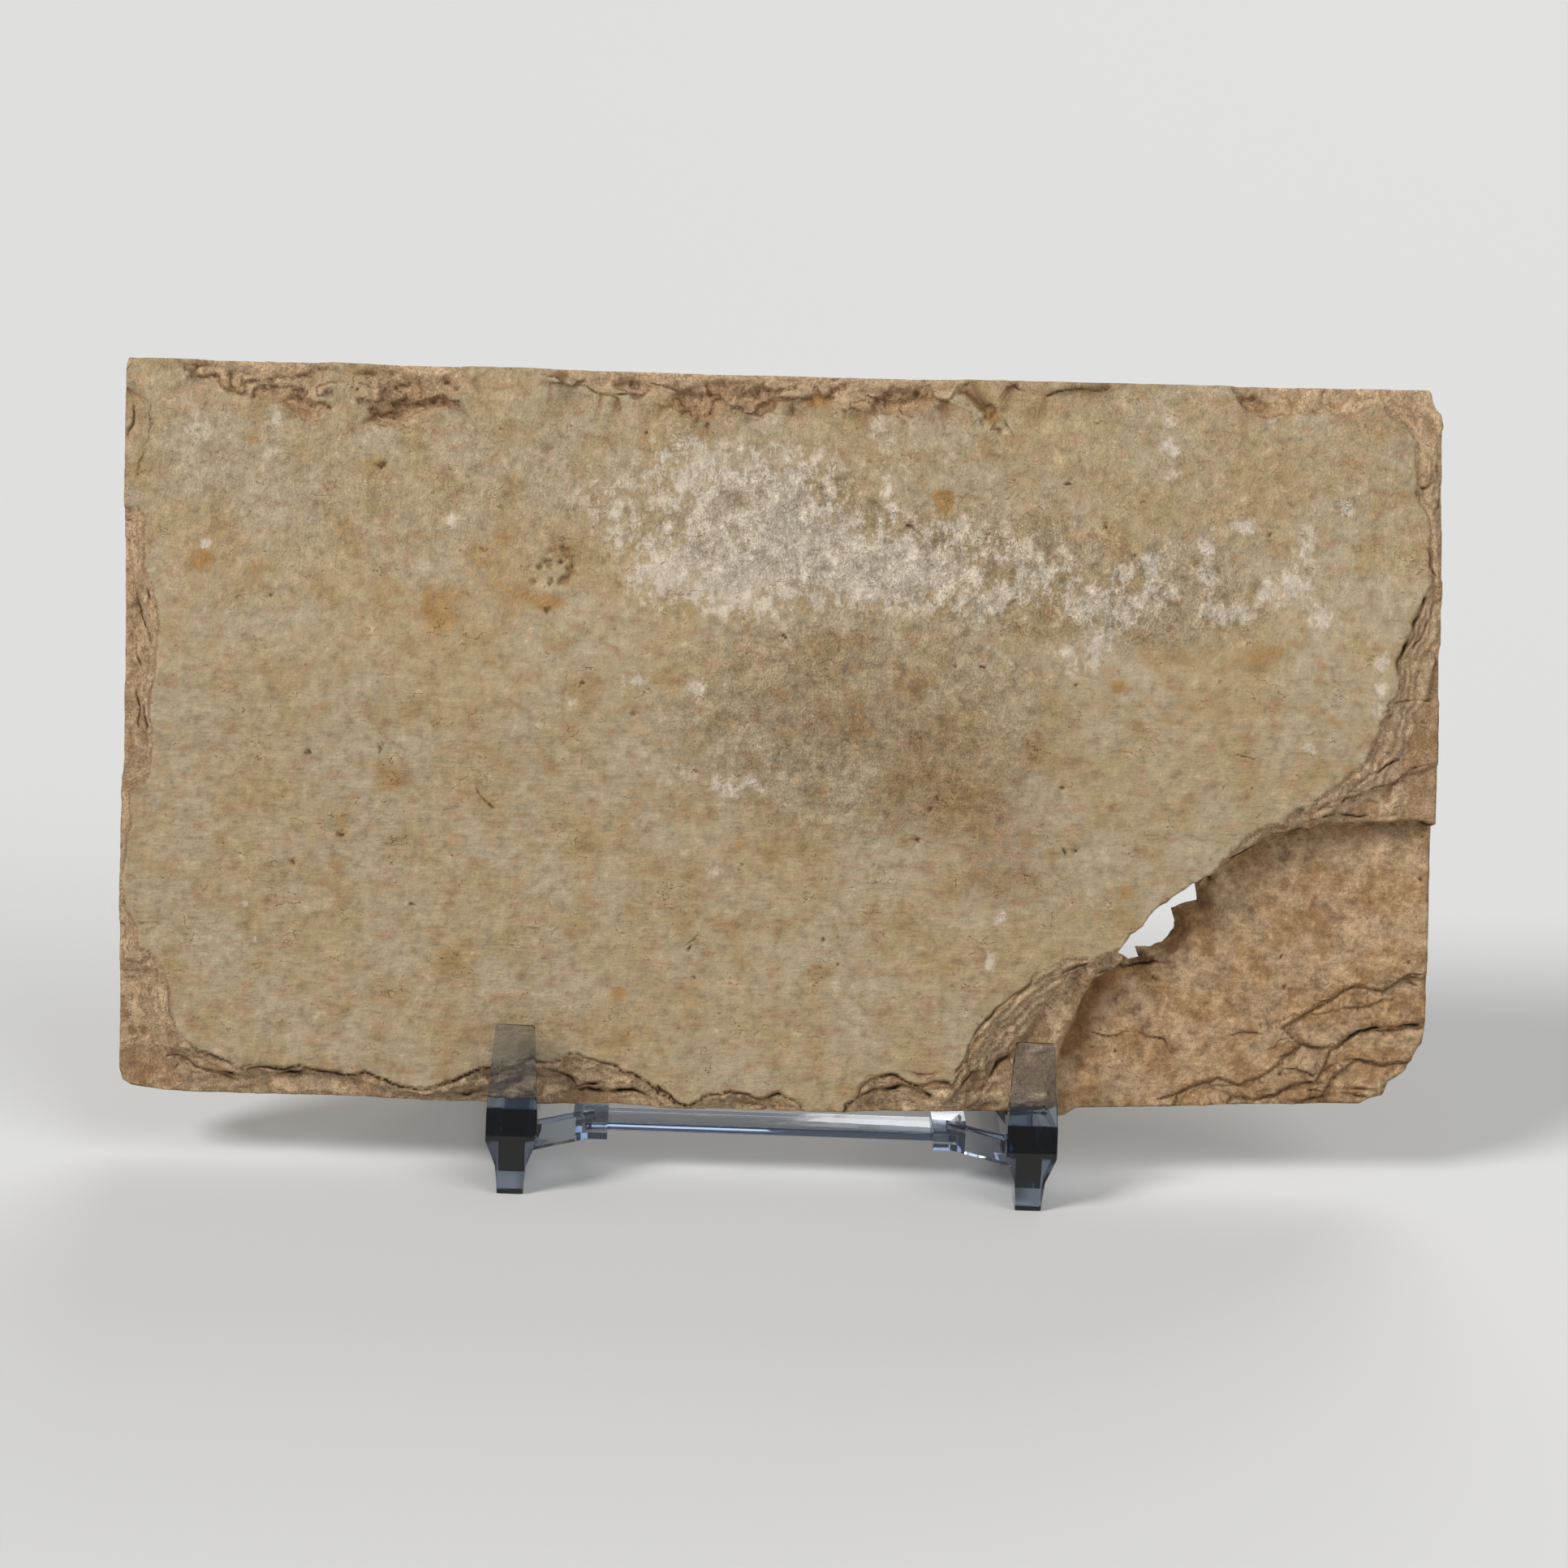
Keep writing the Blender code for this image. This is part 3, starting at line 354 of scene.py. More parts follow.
TOP_SPALLS = [
    [(57, 155), (61, 154.2), (67, 156.4), (72.5, 157), (74.5, 159.6), (72, 161), (66, 159.4),
     (60, 158.6)],
    [(122, 160), (124, 158), (128, 156.8), (132, 155.8), (135, 157), (137.5, 160.4), (134, 162.4),
     (126, 162.6)],
    [(138, 160), (142, 158.4), (146, 157.6), (149.5, 160), (150, 163), (144, 164), (139, 162.6)],
    [(155, 162), (158, 160.4), (162, 160.4), (163, 162.2), (158, 163)],
    [(170, 160.4), (174, 158), (177, 157.8), (181, 160), (186, 161.6), (182, 163.6), (175, 161.6),
     (171, 163)],
    [(34, 157.6), (38, 155.6), (42, 154.4), (43.4, 156), (42, 159.2), (37, 160.4)],
    [(10, 163), (13, 163.4), (14, 166), (10.5, 168), (8.6, 165.6)],
    [(254, 164.4), (257, 161), (260, 159.4), (263, 159.2), (263.5, 162), (259, 165)]]
CORNER_OUTLINE = [
    (214, -8), (215, 2), (217.5, 12), (219.5, 17), (222, 24), (225, 29.6), (230, 31), (233, 35.6),
    (238, 43.2), (243.6, 47.4), (250, 51.4), (255.5, 56.8), (259, 59), (267, 62.8), (272, 64.3),
    (279, 66), (287, 65.8), (299, 67.2), (303, 65.8), (312, 66), (312, -8)]
CORNER_TERRACES = [
    [(243, -8), (246, 1.2), (256, 5.6), (262, 4.4), (268, 7), (271, 10.6), (275, 13.5), (270, 17),
     (276, 21), (282, 24.6), (288, 28), (294, 27), (299, 30), (312, 31), (312, -8)],
    [(256, -8), (259, 1.8), (264, 1), (270, 1.3), (274, 5), (279.4, 5.2), (282, 12.5), (286, 15),
     (290, 17), (302, 18), (312, 18.4), (312, -8)],
    [(266, -8), (275, 0.5), (281, 2), (284, 6), (288, 10), (295, 9.2), (301, 9.5), (312, 9.6),
     (312, -8)]]
HOLE_OUTLINE = [
    (252, 53.7), (250.4, 51), (251, 47), (248, 46), (245, 45), (246, 42), (245.7, 40), (243, 36.8),
    (239.5, 35.5), (236.8, 35.3), (237.5, 33.2), (235.3, 32.3), (233.5, 33.7), (231, 34.3),
    (230.6, 35.5), (233, 39.3), (235.8, 41.5), (238.3, 44.8), (245, 50), (250.3, 53.4)]
REAR_FOOT = [(203, -2.4), (205, -4), (208, -4.6), (216, -4.6), (220, -4.1), (223, -2.2)]
REAR_FOOT_BEGINS, REAR_FOOT_ENDS = (8.0, 9.6), (14.0, 15.4)

# Depths behind the face: its own sheet, the next one, a spall, the corner's floor with its steps and the
# hole's rim, and how far the rear face lies within the full thickness
FACE_SHEET = 2.0
SECOND_SHEET = 4.2
SPALL_DEPTH = 1.3
CORNER_FLOOR = 9.5
CORNER_STEPS = (0.8, 1.0, 1.1)
HOLE_RIM = 15.2
REAR_SINK = 0.12

# Cracks and thin ledges: width, depth, and the line from end to end
FINE, CRACK, GAPING = (0.22, 0.22), (0.30, 0.55), (0.45, 1.1)
CRACKS = [
    (CRACK, [(10, 6.3), (12, 7.3), (14, 7.3), (16.5, 6.6), (18, 5), (20, 4.2), (23, 3.6), (27, 3)]),
    (FINE, [(12.5, 3.5), (14.5, 5.5)]),
    (CRACK, [(28, 4.8), (29.5, 5.7), (32, 5.2), (37, 5), (40, 4.4)]),
    (GAPING, [(35, 2.3), (38, 3.7), (42, 3.8), (46, 4.5), (51, 4.6), (53, 4)]),
    (FINE, [(24, 3), (28, 1), (30, 0)]),
    (CRACK, [(5.5, 88), (6, 84), (6.3, 82)]),
    (CRACK, [(5, 114.5), (6.5, 111.5)]),
    (FINE, [(1.5, 122), (3.5, 120)]),
    (FINE, [(6.2, 157), (5.9, 152), (4.5, 147), (3.2, 143), (2.5, 139)]),
    (FINE, [(2.5, 157), (2, 152), (0.8, 148)]),
    (FINE, [(1.6, 108), (3, 103), (4, 97), (5.6, 93)]),
    (FINE, [(2.6, 114), (4, 109), (5.8, 105), (7.4, 100)]),
    (FINE, [(3.4, 92), (4.2, 88), (4, 82)]),
    (CRACK, [(5, 38), (7, 38.1), (9, 38), (9.7, 37)]),
    (FINE, [(94, 164.8), (97, 164.5), (103, 163.5), (105, 163), (107, 161.8), (110, 161.3), (119, 161)]),
    (FINE, [(119, 164.2), (122, 163.5), (124, 162.5), (126, 162)]),
    (CRACK, [(138, 160), (141, 159), (145, 157.3), (147, 159), (149, 161)]),
    (FINE, [(169, 163), (171, 162), (173, 160.5), (175, 160)]),
    (GAPING, [(185, 160.3), (188, 161.8), (189, 162.5), (190, 163.8), (191.5, 165), (193.5, 166)]),
    (FINE, [(201, 166), (204, 164.5), (207, 163.7)]),
    (FINE, [(210, 163.5), (215, 164.5), (225, 165)]),
    (CRACK, [(301.5, 151), (302, 148), (301.8, 146), (300.5, 144), (299, 143.5), (298, 144.5)]),
    (CRACK, [(297.2, 144), (297.3, 141)]),
    (FINE, [(302, 145), (303.5, 143), (303, 140), (302, 138.5), (301, 137)]),
    (CRACK, [(300.5, 131), (301, 128), (301.2, 126), (303, 123.5)]),
    (GAPING, [(300, 120), (298.2, 115.5), (296, 108.5), (294, 104), (293.7, 100)]),
    (CRACK, [(302, 119.5), (301, 114), (299, 110), (297, 107)]),
    (CRACK, [(302.8, 106), (303.5, 104), (302.5, 100), (302.3, 96)]),
    (FINE, [(292, 95), (297, 95.3), (304, 95)]),
    (CRACK, [(290.5, 91.5), (292.5, 93.2)]),
    (CRACK, [(290.5, 90.2), (293.3, 92)]),
    (CRACK, [(281.5, 70.5), (283, 72), (287, 73), (290, 75), (295, 76), (299, 79.3), (304, 80.5)]),
    (CRACK, [(283, 73.5), (285, 74.5), (288, 77.5), (292, 80), (295.5, 81.2)]),
    (FINE, [(276, 68.5), (277.5, 70), (281, 70.3)]),
    (CRACK, [(277, 67.3), (279, 68), (281, 68.5), (287, 67.5), (292, 67.8), (296, 68.8)]),
    (GAPING, [(255.5, 57), (259, 59), (263, 61), (267, 62.8), (272, 64.3), (279, 66), (287, 65.8),
              (294, 66.5), (299, 67.2), (303, 65.8), (304.8, 66)]),
    (FINE, [(296, 73), (301, 73.5)]),
    (FINE, [(270, 19), (274, 20.2), (278, 22.3), (280, 23.8), (284, 25.8), (288, 28)]),
    (CRACK, [(277, 20.3), (283, 21.2), (286, 22), (292, 23.2), (294, 24.2), (298, 24.8)]),
    (FINE, [(290, 26), (294, 26.8), (297.5, 29), (299, 30), (304.8, 31)]),
    (FINE, [(299.5, 29), (302, 28.3), (304, 28)]),
    (GAPING, [(275, 13.5), (278, 13), (280, 12.3), (284, 13.5), (286, 15), (290, 17), (296, 18),
              (304.8, 18.3)]),
    (FINE, [(267, 11.8), (269, 12.5), (270, 14), (274, 15)]),
    (FINE, [(270, 10.5), (274, 11.8)]),
    (CRACK, [(280, 7), (282, 8), (286, 9.5), (288, 10), (295, 9.2), (301, 9.5)]),
    (FINE, [(271, 7.5), (277, 7), (279, 6.5), (280, 8)]),
    (FINE, [(257, 15.5), (262, 16.3), (267, 15.5)]),
    (FINE, [(225, 15.5), (230, 15), (236, 16), (240, 15), (243, 14.5), (244, 12.5), (245, 10.5)]),
    (CRACK, [(241, 0.5), (244, 0.2), (248, 2), (252, 4), (256, 5.5)]),
    (FINE, [(253, 2.8), (258, 3.5), (263, 4.5)]),
    (CRACK, [(253, 2.5), (259, 1.8), (264, 1), (270, 1.3), (272, 2.2), (274, 5), (279.5, 5)]),
    (FINE, [(277, 3), (283, 2.8), (289, 2.8), (295, 3)]),
    (CRACK, [(272, 0), (278, 1), (285, 2), (293, 1)]),
    (CRACK, [(225, 30.5), (232, 31.5), (240, 32), (246, 32.5)]),
    (CRACK, [(97, 6.4), (99, 6.4), (101, 5.8), (103, 4.5), (105, 3), (106, 1.8), (108, 2.5), (111, 2.3)]),
    (GAPING, [(106, 1), (108, 1.5), (112, 0.6), (116, 1.3), (118, 1.5), (121, 0.5), (123.5, -1)]),
    (FINE, [(107, 8.6), (111, 8), (115, 7.8)]),
    (CRACK, [(124, 3), (127.5, 0.8), (130, -1.3), (132, -1.5)]),
    (FINE, [(66, 0), (70, -0.7), (75, -0.5), (80, -1), (85, 0.2)]),
    (CRACK, [(140, 1.8), (148, 0.5), (153, 1.6), (157, -0.5)]),
    (FINE, [(143, -0.5), (147, -1), (152, -1.5)]),
    (CRACK, [(169, 0), (171, 3), (173, 5.3), (178, 5.8), (182, 4.3), (192.5, 3.8)]),
    (GAPING, [(169, 0.5), (175, 2), (183, 3.3), (185, 2.5), (188, 0.8)]),
    (FINE, [(183, 7), (187, 6), (189, 5.3)]),
    (CRACK, [(193, 0.5), (195, 3.5), (197, 6.5), (200, 7.2), (202, 9.5)]),
    (GAPING, [(201, 5), (203, 8.5), (206, 11)]),
    (FINE, [(192, 0), (194, 1.5), (198, 2.2)]),
    (CRACK, [(212.5, 30), (214, 29.5), (218, 30.2), (222, 31.7), (224, 33)]),
    (FINE, [(211, 20), (213.5, 22)]),
    (CRACK, [(193, 6), (196, 12), (199, 18), (202, 21.4), (206, 24), (210, 28), (212, 30.6)]),
    (FINE, [(81, 71), (83, 68), (86.5, 65)]),
    (FINE, [(130, 34.4), (133, 37)]),
    (FINE, [(256, 81.5), (259, 80.6), (261.5, 80)])]

# Dark pits in the face: place, radius and depth
PITS = [
    (67, 43, 0.9, 0.8), (58.5, 143.5, 1.3, 1.0), (43, 78, 0.8, 0.6), (59.5, 79, 0.9, 0.7),
    (40, 52.5, 0.9, 0.6), (51, 59, 1.0, 0.6), (46.5, 157, 0.9, 0.8), (52.5, 161, 0.9, 0.8),
    (216.5, 143.2, 1.1, 0.9), (119, 152.6, 0.7, 0.7), (153, 158.5, 0.5, 0.6), (225, 133.5, 0.7, 0.6),
    (232, 127.5, 0.9, 0.7), (263, 132.5, 0.7, 0.5), (180, 132.5, 1.3, 0.8), (151.3, 106.7, 0.7, 0.9),
    (182.7, 60, 1.2, 0.9), (186, 67.4, 0.6, 0.7), (220, 58.2, 0.8, 0.9), (217.5, 58.4, 0.6, 0.6),
    (131, 34.5, 0.7, 0.6), (132, 27.4, 0.7, 0.6), (162, 36.8, 0.5, 0.4), (165.5, 31, 0.5, 0.4),
    (147, 15, 0.5, 0.4), (105, 94.8, 1.0, 0.6), (117, 87.8, 0.9, 0.6), (190.6, 100.4, 0.7, 0.6),
    (197.4, 100.8, 0.8, 0.6), (219, 96.6, 0.7, 0.6), (216.4, 73, 0.8, 0.6), (187.6, 70.2, 0.8, 0.5),
    (240.5, 28.6, 0.6, 0.6), (244.7, 22.7, 0.6, 0.6), (271.2, 27, 0.6, 0.6), (270, 34.3, 0.5, 0.6),
    (302.5, 63.3, 0.6, 0.6), (287.5, 62, 0.5, 0.6), (231.5, 11, 0.6, 0.7), (270.7, 6.5, 0.6, 0.6),
    (226.5, 12, 0.5, 0.5), (228, 16, 0.5, 0.5), (302.8, 52.7, 0.5, 0.5), (300.5, 33.2, 0.5, 0.5),
    (253, 52.9, 0.7, 2.2), (254, 55.8, 0.5, 1.5), (97, 112, 1.2, 0.5), (34, 113.5, 0.7, 0.4)]

# Large stains: place, half width, half height and strength
CHALK = [
    (141, 121, 17, 9, 1.1), (150, 138, 10, 8, 0.85), (133, 138, 9, 9, 0.6), (171, 122, 12, 8, 1.0),
    (160, 130, 12, 8, 0.6), (185, 121, 9, 7, 0.75), (122, 122, 7, 9, 0.6), (126, 146, 9, 8, 0.45),
    (198, 115, 8, 6, 0.6), (150, 146, 16, 6, 0.4), (222, 116, 5, 3, 0.8), (236, 125, 3, 2, 0.7),
    (240, 157, 6, 3, 0.65), (240, 150, 2.5, 7, 0.6), (257, 135, 3, 3, 0.6), (280, 139, 3, 2, 0.7),
    (271, 132, 3, 5, 0.7), (276, 114, 3, 3, 0.7), (270, 121, 5, 4, 0.6), (254, 114, 6, 2, 0.7),
    (249, 125, 2, 7, 0.7), (290, 104, 2, 3, 0.6), (289.5, 97, 1.6, 3, 0.6), (290, 92.5, 2, 1.6, 0.7),
    (209, 120, 6, 5, 0.5), (230, 112, 6, 4, 0.45), (262, 120, 6, 4, 0.4), (262, 160, 4, 3, 0.4),
    (20, 140, 14, 12, 0.14), (36, 149, 12, 8, 0.14), (100, 141, 12, 10, 0.2), (80, 151, 12, 7, 0.14),
    (236.5, 123.5, 2.4, 4.5, 0.8), (229.5, 122.4, 3.4, 2.4, 0.7), (221.4, 114.7, 5, 3.6, 0.6),
    (233, 117, 5, 2.4, 0.7), (239.5, 119, 2.6, 2.4, 0.6), (253.5, 114.3, 5, 2.4, 0.6),
    (256.4, 133.8, 3, 2, 0.6), (248.2, 131, 1.8, 4, 0.5), (267.6, 118.6, 3.4, 2.6, 0.6),
    (218, 103, 5, 4, 0.55), (224.5, 105, 3, 4, 0.6), (176, 142, 3, 9, 0.45), (190, 130, 10, 7, 0.4),
    (206, 128, 10, 6, 0.35), (112, 134, 6, 8, 0.4), (172, 156, 3, 6, 0.4), (216, 122, 10, 5, 0.35),
    (202.5, 43, 1.4, 2.4, 0.8), (200.5, 33, 1.1, 3.2, 0.8), (131.4, 94.1, 2.6, 3, 0.6),
    (139, 72, 5, 3, 0.7), (146, 72, 3, 2, 0.6), (128, 74, 3, 3, 0.4), (117, 96, 4, 1.6, 0.6),
    (101, 90, 3, 2, 0.5), (29, 43, 0.8, 0.8, 0.8), (31.7, 34.5, 0.8, 0.8, 0.8), (18.7, 125, 1.2, 1.0, 0.9),
    (66.5, 3, 1.0, 0.8, 0.8), (33, 155, 2, 3, 0.6), (16, 150, 3, 3, 0.5), (75, 131, 1.6, 3, 0.5),
    (136, 52, 3, 3, 0.5), (187, 51, 2, 2, 0.4), (287, 108, 0.8, 0.8, 0.9), (273.5, 83, 2, 2, 0.5)]
GREY = [
    (18, 146, 12, 12, 0.8), (40, 137, 16, 9, 0.5), (28, 110, 16, 12, 0.35), (18, 86, 10, 16, 0.45),
    (52, 100, 18, 14, 0.35), (100, 147, 14, 8, 0.4), (60, 152, 5, 4, 0.5), (2, 135, 1.5, 2.4, 1.4),
    (43, 131.5, 2.0, 1.5, 1.0), (8, 66, 1.2, 1.8, 1.6), (134, 148, 14, 9, 0.5), (160, 146, 12, 8, 0.4),
    (292, 114, 5, 7, 1.0), (283, 120, 6, 5, 0.6), (285, 164.3, 4, 1.5, 1.3), (209.6, 75.5, 1.5, 1.2, 1.6),
    (146, 151, 3, 2, 0.7), (190, 152, 8, 5, 0.4), (243, 130, 12, 8, 0.35), (152, 109, 8, 3, 0.7),
    (94, 60, 16, 12, 0.3), (152, 112, 4, 3, 0.5), (60, 60, 14, 8, 0.35), (56, 150, 3, 2.4, 0.7),
    (222, 106, 16, 6, 0.3), (240, 62, 12, 8, 0.3)]
BROWN = [
    (160, 103, 12, 6, 0.35), (172, 94, 14, 9, 0.5), (184, 80, 15, 9, 0.65), (195, 67, 14, 9, 1.0),
    (205, 54, 9, 9, 0.7), (163, 85, 8, 5, 0.5), (150, 88, 8, 4, 0.5), (144, 75, 5, 4, 0.4),
    (209.4, 83.4, 2.6, 1.8, 1.6), (210, 80.6, 1.2, 2.0, 1.5), (99.5, 127, 3, 4, 0.8), (96, 122, 7, 6, 0.35),
    (181.6, 41.8, 1.2, 1.0, 1.4), (64, 73, 5, 4, 0.45), (150, 95, 4, 3, 0.6), (145, 78.4, 2.4, 1.6, 0.9),
    (237, 118, 3, 2, 0.9), (232, 123, 4, 2, 0.5), (224, 60, 8, 5, 0.35), (196, 47, 9, 7, 0.3),
    (71, 154.5, 2, 1.5, 0.6), (133.5, 36.3, 2.4, 1.2, 1.0), (11.3, 165, 3, 1.6, 0.6),
    (21.3, 161.4, 5, 1.8, 0.5), (39.6, 156, 5, 2.6, 0.8), (41.5, 162.8, 5, 2.6, 0.35),
    (61, 160.4, 6, 4.4, 0.5), (68, 161, 3, 2, 0.5), (74.8, 160.6, 3.4, 5, 0.6), (99.2, 160.8, 3.6, 2.4, 0.5),
    (130, 160, 7, 4, 0.75), (142, 161.5, 6, 4, 0.55), (148.5, 163, 2, 2.4, 0.5),
    (158.6, 161.6, 3, 1.4, 0.6), (168, 160, 4, 3, 0.5), (176, 160, 6, 3.6, 0.6), (200, 164, 4, 3, 0.4),
    (2, 90, 5, 50, 0.4), (3, 18, 6, 14, 0.4), (36, 2, 26, 3, 0.35),
    (260.2, 160.8, 4.6, 2.6, 0.7), (292.8, 160, 4, 6, 0.45), (294, 150, 2, 8, 0.3),
    (300, 148, 1.6, 4, 0.3), (297, 128, 2, 6, 0.2), (293, 106, 2, 6, 0.2)]
OCHRE = [
    (170, 93, 17, 11, 0.3),
    (186.2, 139.7, 1.5, 1.3, 1.5), (188.4, 139.5, 1.4, 1.5, 1.5), (187.7, 137.6, 1.5, 1.6, 1.6),
    (17.6, 121.5, 3.2, 3.0, 0.9), (97, 113.4, 4.5, 2.2, 1.3), (72, 109, 6, 6, 0.8),
    (62, 73, 5, 4, 0.7), (92, 79, 4, 3, 0.35), (198.5, 158, 2, 1.6, 1.4), (158, 161, 3, 1.6, 1.2),
    (197, 164, 4, 2.4, 0.7), (28, 121, 7, 6, 0.4), (86, 128, 4, 5, 0.5), (30, 150, 5, 4, 0.5),
    (84, 116, 10, 7, 0.45), (120, 62, 8, 6, 0.3), (142, 59, 2.4, 2, 0.9), (44, 60, 10, 8, 0.35),
    (250, 92, 12, 7, 0.4), (226, 92, 6, 3, 0.5), (200, 96, 8, 4, 0.35), (258, 150, 12, 7, 0.2),
    (60, 128, 8, 8, 0.3), (262, 104, 6, 4, 0.5), (239, 53, 8, 5, 0.3), (229, 97, 2, 1.6, 1.0),
    (232, 50, 3, 2, 0.7), (72, 34, 12, 8, 0.25), (110, 20, 14, 9, 0.25), (103, 83, 3, 2, 0.5),
    (115, 24, 2, 1.6, 0.7), (84, 60, 2.4, 1.6, 0.7), (57, 146, 6, 4, 0.3)]


def smooth(value, low, high):
    """0 below one value and 1 above the other, with a smooth rise between them."""
    share = np.clip((value - low) / (high - low), 0.0, 1.0)
    return share * share * (3 - 2 * share)


def lumps(u, v, size, seed, size_v=None):
    """Smooth random relief from -1 to 1 whose lumps are about so many millimetres across."""
    lattice = np.random.default_rng(seed).random((LUMP_LATTICE, LUMP_LATTICE)) * 2 - 1
    x = (u + LUMP_MARGIN) / size
    y = (v + LUMP_MARGIN) / (size_v or size)
    column, row = np.floor(x).astype(int), np.floor(y).astype(int)
    across, up = smooth(x - column, 0, 1), smooth(y - row, 0, 1)
    column, row = column % (LUMP_LATTICE - 1), row % (LUMP_LATTICE - 1)
    low = lattice[row, column] * (1 - across) + lattice[row, column + 1] * across
    high = lattice[row + 1, column] * (1 - across) + lattice[row + 1, column + 1] * across
    return low * (1 - up) + high * up


def sides_of(outline):
    """The sides of a closed outline, each as its two ends."""
    return zip(outline, [*outline[1:], outline[0]])


def inside_by(u, v, outline):
    """How far points lie inside a closed outline; outside it the distance is negative."""
    nearest = np.full(len(u), np.inf)
    within = np.zeros(len(u), bool)
    for (u0, v0), (u1, v1) in sides_of(outline):
        run_u, run_v = u1 - u0, v1 - v0
        share = np.clip(((u - u0) * run_u + (v - v0) * run_v) / (run_u ** 2 + run_v ** 2), 0, 1)
        nearest = np.minimum(nearest, (u - u0 - share * run_u) ** 2 + (v - v0 - share * run_v) ** 2)
        if v0 != v1:
            within ^= ((v0 > v) != (v1 > v)) & (u < u0 + (v - v0) / run_v * run_u)
    return np.sqrt(nearest) * np.where(within, 1, -1)


def groove(u, v, line, width):
    """1 along an open line, falling to 0 a width away from it and towards its ends."""
    nearest = np.full(len(u), np.inf)
    travelled = np.zeros(len(u))
    length = 0.0
    for (u0, v0), (u1, v1) in zip(line, line[1:]):
        run_u, run_v = u1 - u0, v1 - v0
        run = math.hypot(run_u, run_v)
        share = np.clip(((u - u0) * run_u + (v - v0) * run_v) / run ** 2, 0, 1)
        gap = (u - u0 - share * run_u) ** 2 + (v - v0 - share * run_v) ** 2
        closer = gap < nearest
        nearest = np.where(closer, gap, nearest)
        travelled = np.where(closer, length + share * run, travelled)
        length += run
    taper = np.minimum(travelled, length - travelled)
    return np.exp(-nearest / width ** 2) * smooth(taper, -0.6, 1.4)


def beds(depth, sheet):
    """Turns a slope into thin flat sheets with short risers, and says where the risers are."""
    steps = depth / sheet
    whole = np.floor(steps)
    rest = steps - whole
    riser = smooth(rest, 0.6, 0.86) * smooth(1 - rest, 0, 0.1)
    return (whole + smooth(rest, 0.72, 1.0)) * sheet, riser


def stain(u, v, spots):
    """The sum of soft round stains."""
    total = np.zeros(len(u))
    for spot_u, spot_v, half_width, half_height, strength in spots:
        total += strength * np.exp(-((u - spot_u) / half_width) ** 2 - ((v - spot_v) / half_height) ** 2)
    return total


def walk(outline, step):
    """Points at even steps along a closed outline, its own corners among them."""
    points = []
    for (u0, v0), (u1, v1) in sides_of(outline):
        count = max(1, round(math.hypot(u1 - u0, v1 - v0) / step))
        points += [
            (u0 + (u1 - u0) * index / count, v0 + (v1 - v0) * index / count) for index in range(count)]
    return np.array(points)


def right_inset(u, v, w):
    """How far the sawn right side stands in from its rear edge at one depth."""
    share = np.clip((v - RIGHT_LEAN_V[0]) / (RIGHT_LEAN_V[1] - RIGHT_LEAN_V[0]), 0, 1)
    return RIGHT_LEAN * share * (1 - w / PLATE_DEPTH) * smooth(u, 299.0, 304.5)


